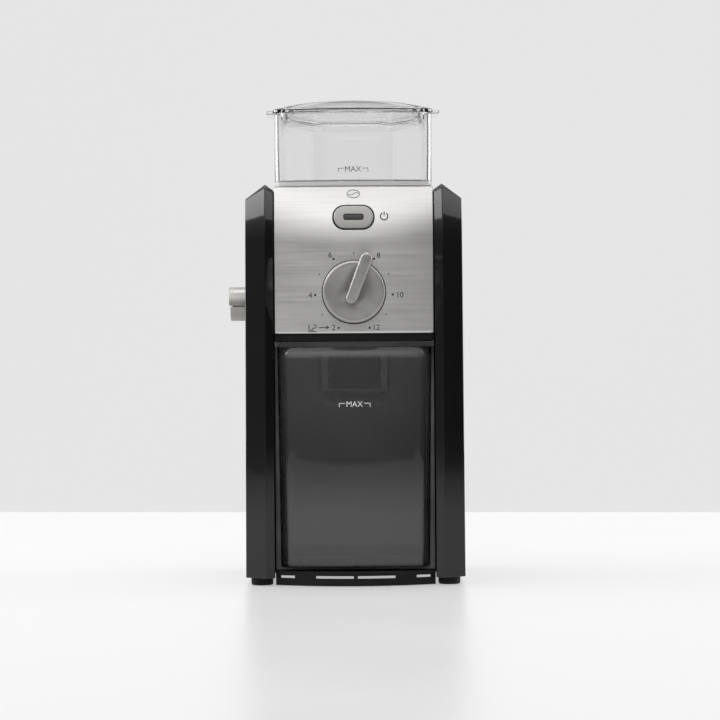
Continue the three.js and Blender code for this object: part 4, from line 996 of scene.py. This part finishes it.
def lettering(text, height, centre):
    """Plain sans lettering as flat faces, centred on a point, with capitals of the given height."""
    curve = bpy.data.curves.new("lettering", "FONT")
    curve.body = text
    curve.align_x = "CENTER"
    curve.resolution_u = 3
    holder = bpy.data.objects.new("lettering", curve)
    bpy.context.scene.collection.objects.link(holder)
    bpy.context.view_layer.update()
    mesh = bpy.data.meshes.new_from_object(holder.evaluated_get(bpy.context.evaluated_depsgraph_get()))
    points = np.zeros(len(mesh.vertices) * 3)
    mesh.vertices.foreach_get("co", points)
    points = points.reshape(-1, 3)[:, :2]
    faces = [list(face.vertices) for face in mesh.polygons]
    bpy.data.objects.remove(holder)
    bpy.data.curves.remove(curve)
    bpy.data.meshes.remove(mesh)
    middle = (points.max(axis=0) + points.min(axis=0)) / 2
    scale = height / np.ptp(points[:, 1])
    return (points - middle) * scale + centre, faces


def printed(name, marks, surface, finish, body, lift=0.12):
    """Joins flat marks into one mesh and lays each (x, z) point just proud of a surface."""
    points, faces, base = [], [], 0
    for mark_points, mark_faces in marks:
        points.append(mark_points)
        faces.extend([index + base for index in face] for face in mark_faces)
        base += len(mark_points)
    x, z = np.vstack(points).T
    return make_piece(name, np.column_stack([x, surface(x, z) - lift, z]), faces, finish, body,
                      facing=(0, -1, 0), merge=False)


def dial_marks():
    """Dots on a circle at even steps from 2 to 12, larger at the even numbers, with those numbers."""
    marks = []
    for number in range(2, 13):
        bearing = (number - 7) * DIAL_STEP
        centre = (DIAL_RADIUS * math.sin(bearing), KNOB_Z + DIAL_RADIUS * math.cos(bearing))
        marks.append(disc_mark(centre, 0.62 if number % 2 == 0 else 0.38))
    places = {"6": (-12.7, 179.1), "8": (13.4, 178.7), "4": (-23.6, 157.4), "10": (25.1, 157.4),
              "2": (-11.0, LOW_MARKS_Z), "12": (12.2, LOW_MARKS_Z)}
    marks.extend(lettering(text, MARK_HEIGHT, centre) for text, centre in places.items())
    cup_left, cup_base = -24.4, 138.6
    marks.append(ribbon([(cup_left, cup_base + MARK_HEIGHT), (cup_left, cup_base), (cup_left + 2.1, cup_base),
                         (cup_left + 2.1, cup_base + 1.2)], 0.46))
    marks.append(ribbon(arc((cup_left + 3.0, cup_base + 1.9), 0.9, -2.2, 2.6, 12), 0.42))
    marks.append(ribbon([(cup_left - 0.6, cup_base - 0.9), (cup_left + 4.0, cup_base - 0.9)], 0.42))
    marks.append(ribbon([(-19.2, LOW_MARKS_Z), (-14.2, LOW_MARKS_Z)], 0.4))
    marks.append(ribbon([(-15.2, LOW_MARKS_Z + 0.7), (-13.7, LOW_MARKS_Z), (-15.2, LOW_MARKS_Z - 0.7)], 0.4))
    printed("dial_marks", marks, fascia_y, DARK_INK, "housing")


def power_mark():
    """A circle open at the top with a stroke through the opening."""
    centre = np.array([16.6, 199.9])
    marks = [
        ribbon(arc(centre, 2.0, math.radians(118), math.radians(422), 40), 0.6),
        ribbon([centre + (0, 0.5), centre + (0, 2.6)], 0.6),
    ]
    printed("power_mark", marks, fascia_y, DARK_INK, "housing")


def bean_mark():
    """A coffee bean, which is an oval split by a soft S."""
    centre_z = 212.4
    turn = np.linspace(0, 2 * np.pi, 36, endpoint=False)
    oval = np.column_stack([3.4 * np.cos(turn), 2.2 * np.sin(turn) + centre_z])
    along = np.linspace(-1, 1, 14)
    crease = np.column_stack([3.0 * along, centre_z + 0.65 * np.sin(along * np.pi)])
    marks = [ribbon(oval, 0.36, closed=True), ribbon(crease, 0.34)]
    printed("bean_mark", marks, fascia_y, GREY_INK, "housing")


def level_mark(name, z, half, surface, finish, body):
    """The word for a full load between two small brackets that turn down at their outer ends."""
    marks = [lettering("MAX", MARK_HEIGHT, (0, z))]
    for side in (-1, 1):
        outer, inner = side * half, side * (half - 3.2)
        marks.append(ribbon([(outer, z - 1.6), (outer, z + 0.4), (inner, z + 0.4)], 0.34))
    printed(name, marks, surface, finish, body)


def hopper_front_y(x, z):
    """Front wall of the hopper: its flare by height and its bow by width."""
    flare = 0.2 * (1 - (z - DECK_TOP) / (RIM_Z - DECK_TOP))
    plan = hopper_plan(0)[CORNER_POINTS:CORNER_POINTS + HOPPER_FRONT_POINTS]
    return np.interp(x, plan[:, 0], plan[:, 1]) + flare


def container_front_y(x, z):
    """Front wall of the container, bowed across its width."""
    plan = container_plan(container_half(z).mean(), 0)[CORNER_POINTS:CORNER_POINTS + CONTAINER_FRONT_POINTS]
    return np.interp(x, plan[:, 0], plan[:, 1])


dial_marks()
power_mark()
bean_mark()
level_mark("hopper_fill_mark", 226.4, 8.1, hopper_front_y, GREY_INK, "hopper")
level_mark("container_fill_mark", 98.6, 8.3, container_front_y, WHITE_INK, "container")


# ---------------------------------------------------------------- small turned pieces
def rubber_feet():
    """Pads with a rolled lower edge, each a turned profile of radius and height."""
    profile = [(0, 0), (5.2, 0), (5.7, 0.25), (5.95, 0.8), (6, 1.6), (6, 4.1), (2.2, 4.1), (2.2, 6), (0, 6)]
    for x, side in ((-51, "left"), (51, "right")):
        for y, end in ((-49, "front"), (60, "rear")):
            name = f"foot_{end}_{side}"
            points, faces = turned(profile, 48)
            make_piece(name + "_finished", points + (x, y, 0), faces, FINISHES["black_rubber"], "housing",
                       [name])


rubber_feet()


# ---------------------------------------------------------------- the frame's own pieces, finished
SLOT_OF = {row["node"]: row["material_slot"] for row in frame["record"]["subparts"]}
EDGE_ROUNDING = {"satin_silver": 0.3, "matte_black_abs": 0.35, "charcoal_abs": 0.35, "smoked_san": 0.3,
                 "turned_steel": 0.15, "burr_steel": 0.12, "natural_nylon": 0.15, "black_rubber": 0.3}


def finished_copy(name, cad_node):
    """The frame's piece with its triangles merged into whole faces and its edges softly rounded."""
    slot = SLOT_OF[name]
    mesh = cad_node.data.copy()
    mesh.name = name + "_finished"
    mesh.materials.clear()
    mesh.materials.append(FINISHES[slot])
    work = bmesh.new()
    work.from_mesh(mesh)
    bmesh.ops.remove_doubles(work, verts=work.verts, dist=0.005 * MM)
    bmesh.ops.dissolve_limit(work, angle_limit=math.radians(0.4), verts=work.verts, edges=work.edges)
    bmesh.ops.recalc_face_normals(work, faces=work.faces)
    for face in work.faces:
        face.material_index = 0
    work.to_mesh(mesh)
    work.free()
    smooth_by_angle(mesh, 24)
    copy = bpy.data.objects.new(name + "_finished", mesh)
    bpy.context.scene.collection.objects.link(copy)
    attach(copy, cad_node["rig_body"])
    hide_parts(name)
    if slot in EDGE_ROUNDING:
        round_edges(copy, EDGE_ROUNDING[slot], 2, 40)


for piece_name, cad_piece in frame["nodes"].items():
    if not cad_piece.hide_render:
        finished_copy(piece_name, cad_piece)


# ---------------------------------------------------------------- studio
def studio_surface(name, corners, finish):
    """A flat sheet of the room."""
    mesh = bpy.data.meshes.new(name)
    mesh.from_pydata(corners, [], [(0, 1, 2, 3)])
    mesh.materials.append(finish)
    sheet = bpy.data.objects.new(name, mesh)
    bpy.context.scene.collection.objects.link(sheet)
    return sheet


def white_acrylic_table():
    """Grey acrylic that glows as if lit from below, with a painted pool of light: the glow is strongest round
    the machine and fades away from it, so that the table shows nearly white.
    """
    finish, tree, shader = new_finish("acrylic_table_painted_glow", IOR=1.42)
    shader.inputs["Emission Color"].default_value = linear("#ffffff")
    cloud = object_pattern(tree, 160, detail=2)
    coloured(tree, shader, cloud, "#8c8c8d", "#909091")
    dulled(tree, shader, cloud, 0.30, 0.34)
    place = node(tree, "ShaderNodeTexCoord").outputs["Object"]
    # Painted light: the emission falls from 0.43 within 0.72 m of the machine to 0.05 by 1.5 m, a painted
    # pool of light round it.
    reach = node(tree, "ShaderNodeVectorMath", {0: place}, operation="LENGTH").outputs["Value"]
    tree.links.new(ranged(tree, reach, 0.43, 0.05, 0.72, 1.5), shader.inputs["Emission Strength"])
    return finish


def pale_wall():
    """Matt mid-grey wall paint with an even glow of its own, so that it shows pale grey."""
    finish, tree, shader = new_finish("pale_grey_wall_paint", Emission_Strength=0.72)
    shader.inputs["Emission Color"].default_value = linear("#ffffff")
    cloud = object_pattern(tree, 600, detail=2)
    coloured(tree, shader, cloud, "#5c5c5d", "#606061")
    dulled(tree, shader, cloud, 0.8, 0.9)
    return finish


# The table's far edge runs a little askew, so that it looks level although the camera isn't quite.
TABLE_EDGE_Y = 0.608
TABLE_SKEW = 0.114
TABLE_HALF = 1.4
studio_surface("table_top", [(-TABLE_HALF, -1.6, 0), (TABLE_HALF, -1.6, 0),
                             (TABLE_HALF, TABLE_EDGE_Y - TABLE_HALF * TABLE_SKEW, 0),
                             (-TABLE_HALF, TABLE_EDGE_Y + TABLE_HALF * TABLE_SKEW, 0)], white_acrylic_table())
studio_surface("back_wall", [(-6, 3.2, -2), (6, 3.2, -2), (6, 3.2, 5), (-6, 3.2, 5)], pale_wall())


def softbox(name, place, target, width, height, power, through_plastic=True):
    """A rectangular studio light aimed at a point, which clear parts may be kept from showing."""
    lamp = bpy.data.lights.new(name, "AREA")
    lamp.shape = "RECTANGLE"
    lamp.size = width
    lamp.size_y = height
    lamp.energy = power
    holder = bpy.data.objects.new(name, lamp)
    holder.location = place
    aim = np.array(target, float) - np.array(place, float)
    length = np.linalg.norm(aim)
    holder.rotation_euler = (math.acos(-aim[2] / length), 0, math.atan2(aim[1], aim[0]) - math.pi / 2)
    holder.visible_transmission = through_plastic
    bpy.context.scene.collection.objects.link(holder)


softbox("left_softbox", (-1.35, -0.15, 1.02), (0, 0, 0.2), 0.9, 0.62, 6)
softbox("right_softbox", (1.35, -0.15, 1.02), (0, 0, 0.2), 0.9, 0.62, 2)
softbox("left_rim_softbox", (-1.4, 0.42, 0.42), (0, 0, 0.22), 0.5, 0.8, 9, through_plastic=False)
softbox("right_rim_softbox", (1.4, 0.42, 0.42), (0, 0, 0.22), 0.5, 0.8, 9, through_plastic=False)
softbox("top_softbox", (0, 0.25, 1.7), (0, 0, 0.2), 0.9, 0.5, 5)


def studio_world():
    """Soft room light: dark at eye level, brightest two thirds of the way up, and dimmer to the right."""
    world = bpy.data.worlds.new("studio")
    bpy.context.scene.world = world
    world.use_nodes = True
    tree = world.node_tree
    room = tree.nodes["Background"]
    direction = node(tree, "ShaderNodeTexCoord").outputs["Generated"]
    split = node(tree, "ShaderNodeSeparateXYZ", {"Vector": direction})
    height = node(tree, "ShaderNodeValToRGB", {"Fac": split.outputs["Z"]})
    ramp = height.color_ramp
    ramp.interpolation = "B_SPLINE"
    stops = [(0.0, 0.11), (0.15, 0.15), (0.36, 0.31), (0.56, 0.74), (0.71, 1.0), (0.84, 0.86), (1.0, 0.5)]
    ramp.elements[0].position, ramp.elements[1].position = stops[0][0], stops[-1][0]
    for position, _ in stops[1:-1]:
        ramp.elements.new(position)
    for element, (_, level) in zip(ramp.elements, stops):
        element.color = (level, level, level, 1)
    side = node(tree, "ShaderNodeMapRange", {
        "Value": split.outputs["X"], "From Min": 0.1, "From Max": 0.9, "To Min": 1.75, "To Max": 0.7})
    tree.links.new(height.outputs["Color"], room.inputs["Color"])
    tree.links.new(side.outputs["Result"], room.inputs["Strength"])


studio_world()


def studio_camera():
    """A long lens 1.5 m in front of the machine, at half its height, a fraction of a degree off level."""
    distance = 1.5
    width_seen = 0.3888
    lens = bpy.data.cameras.new("camera")
    lens.sensor_width = 36
    lens.lens = lens.sensor_width * distance / width_seen
    lens.shift_x = 0.0079
    lens.shift_y = -0.0198
    lens.clip_end = 20
    camera = bpy.data.objects.new("camera", lens)
    camera.location = (CENTRE_X * MM, RIDGE_Y * MM - distance, 0.130)
    camera.rotation_euler = (math.pi / 2, math.radians(0.39), 0)
    bpy.context.scene.collection.objects.link(camera)
    bpy.context.scene.camera = camera


studio_camera()
bpy.context.scene.view_settings.view_transform = "Standard"
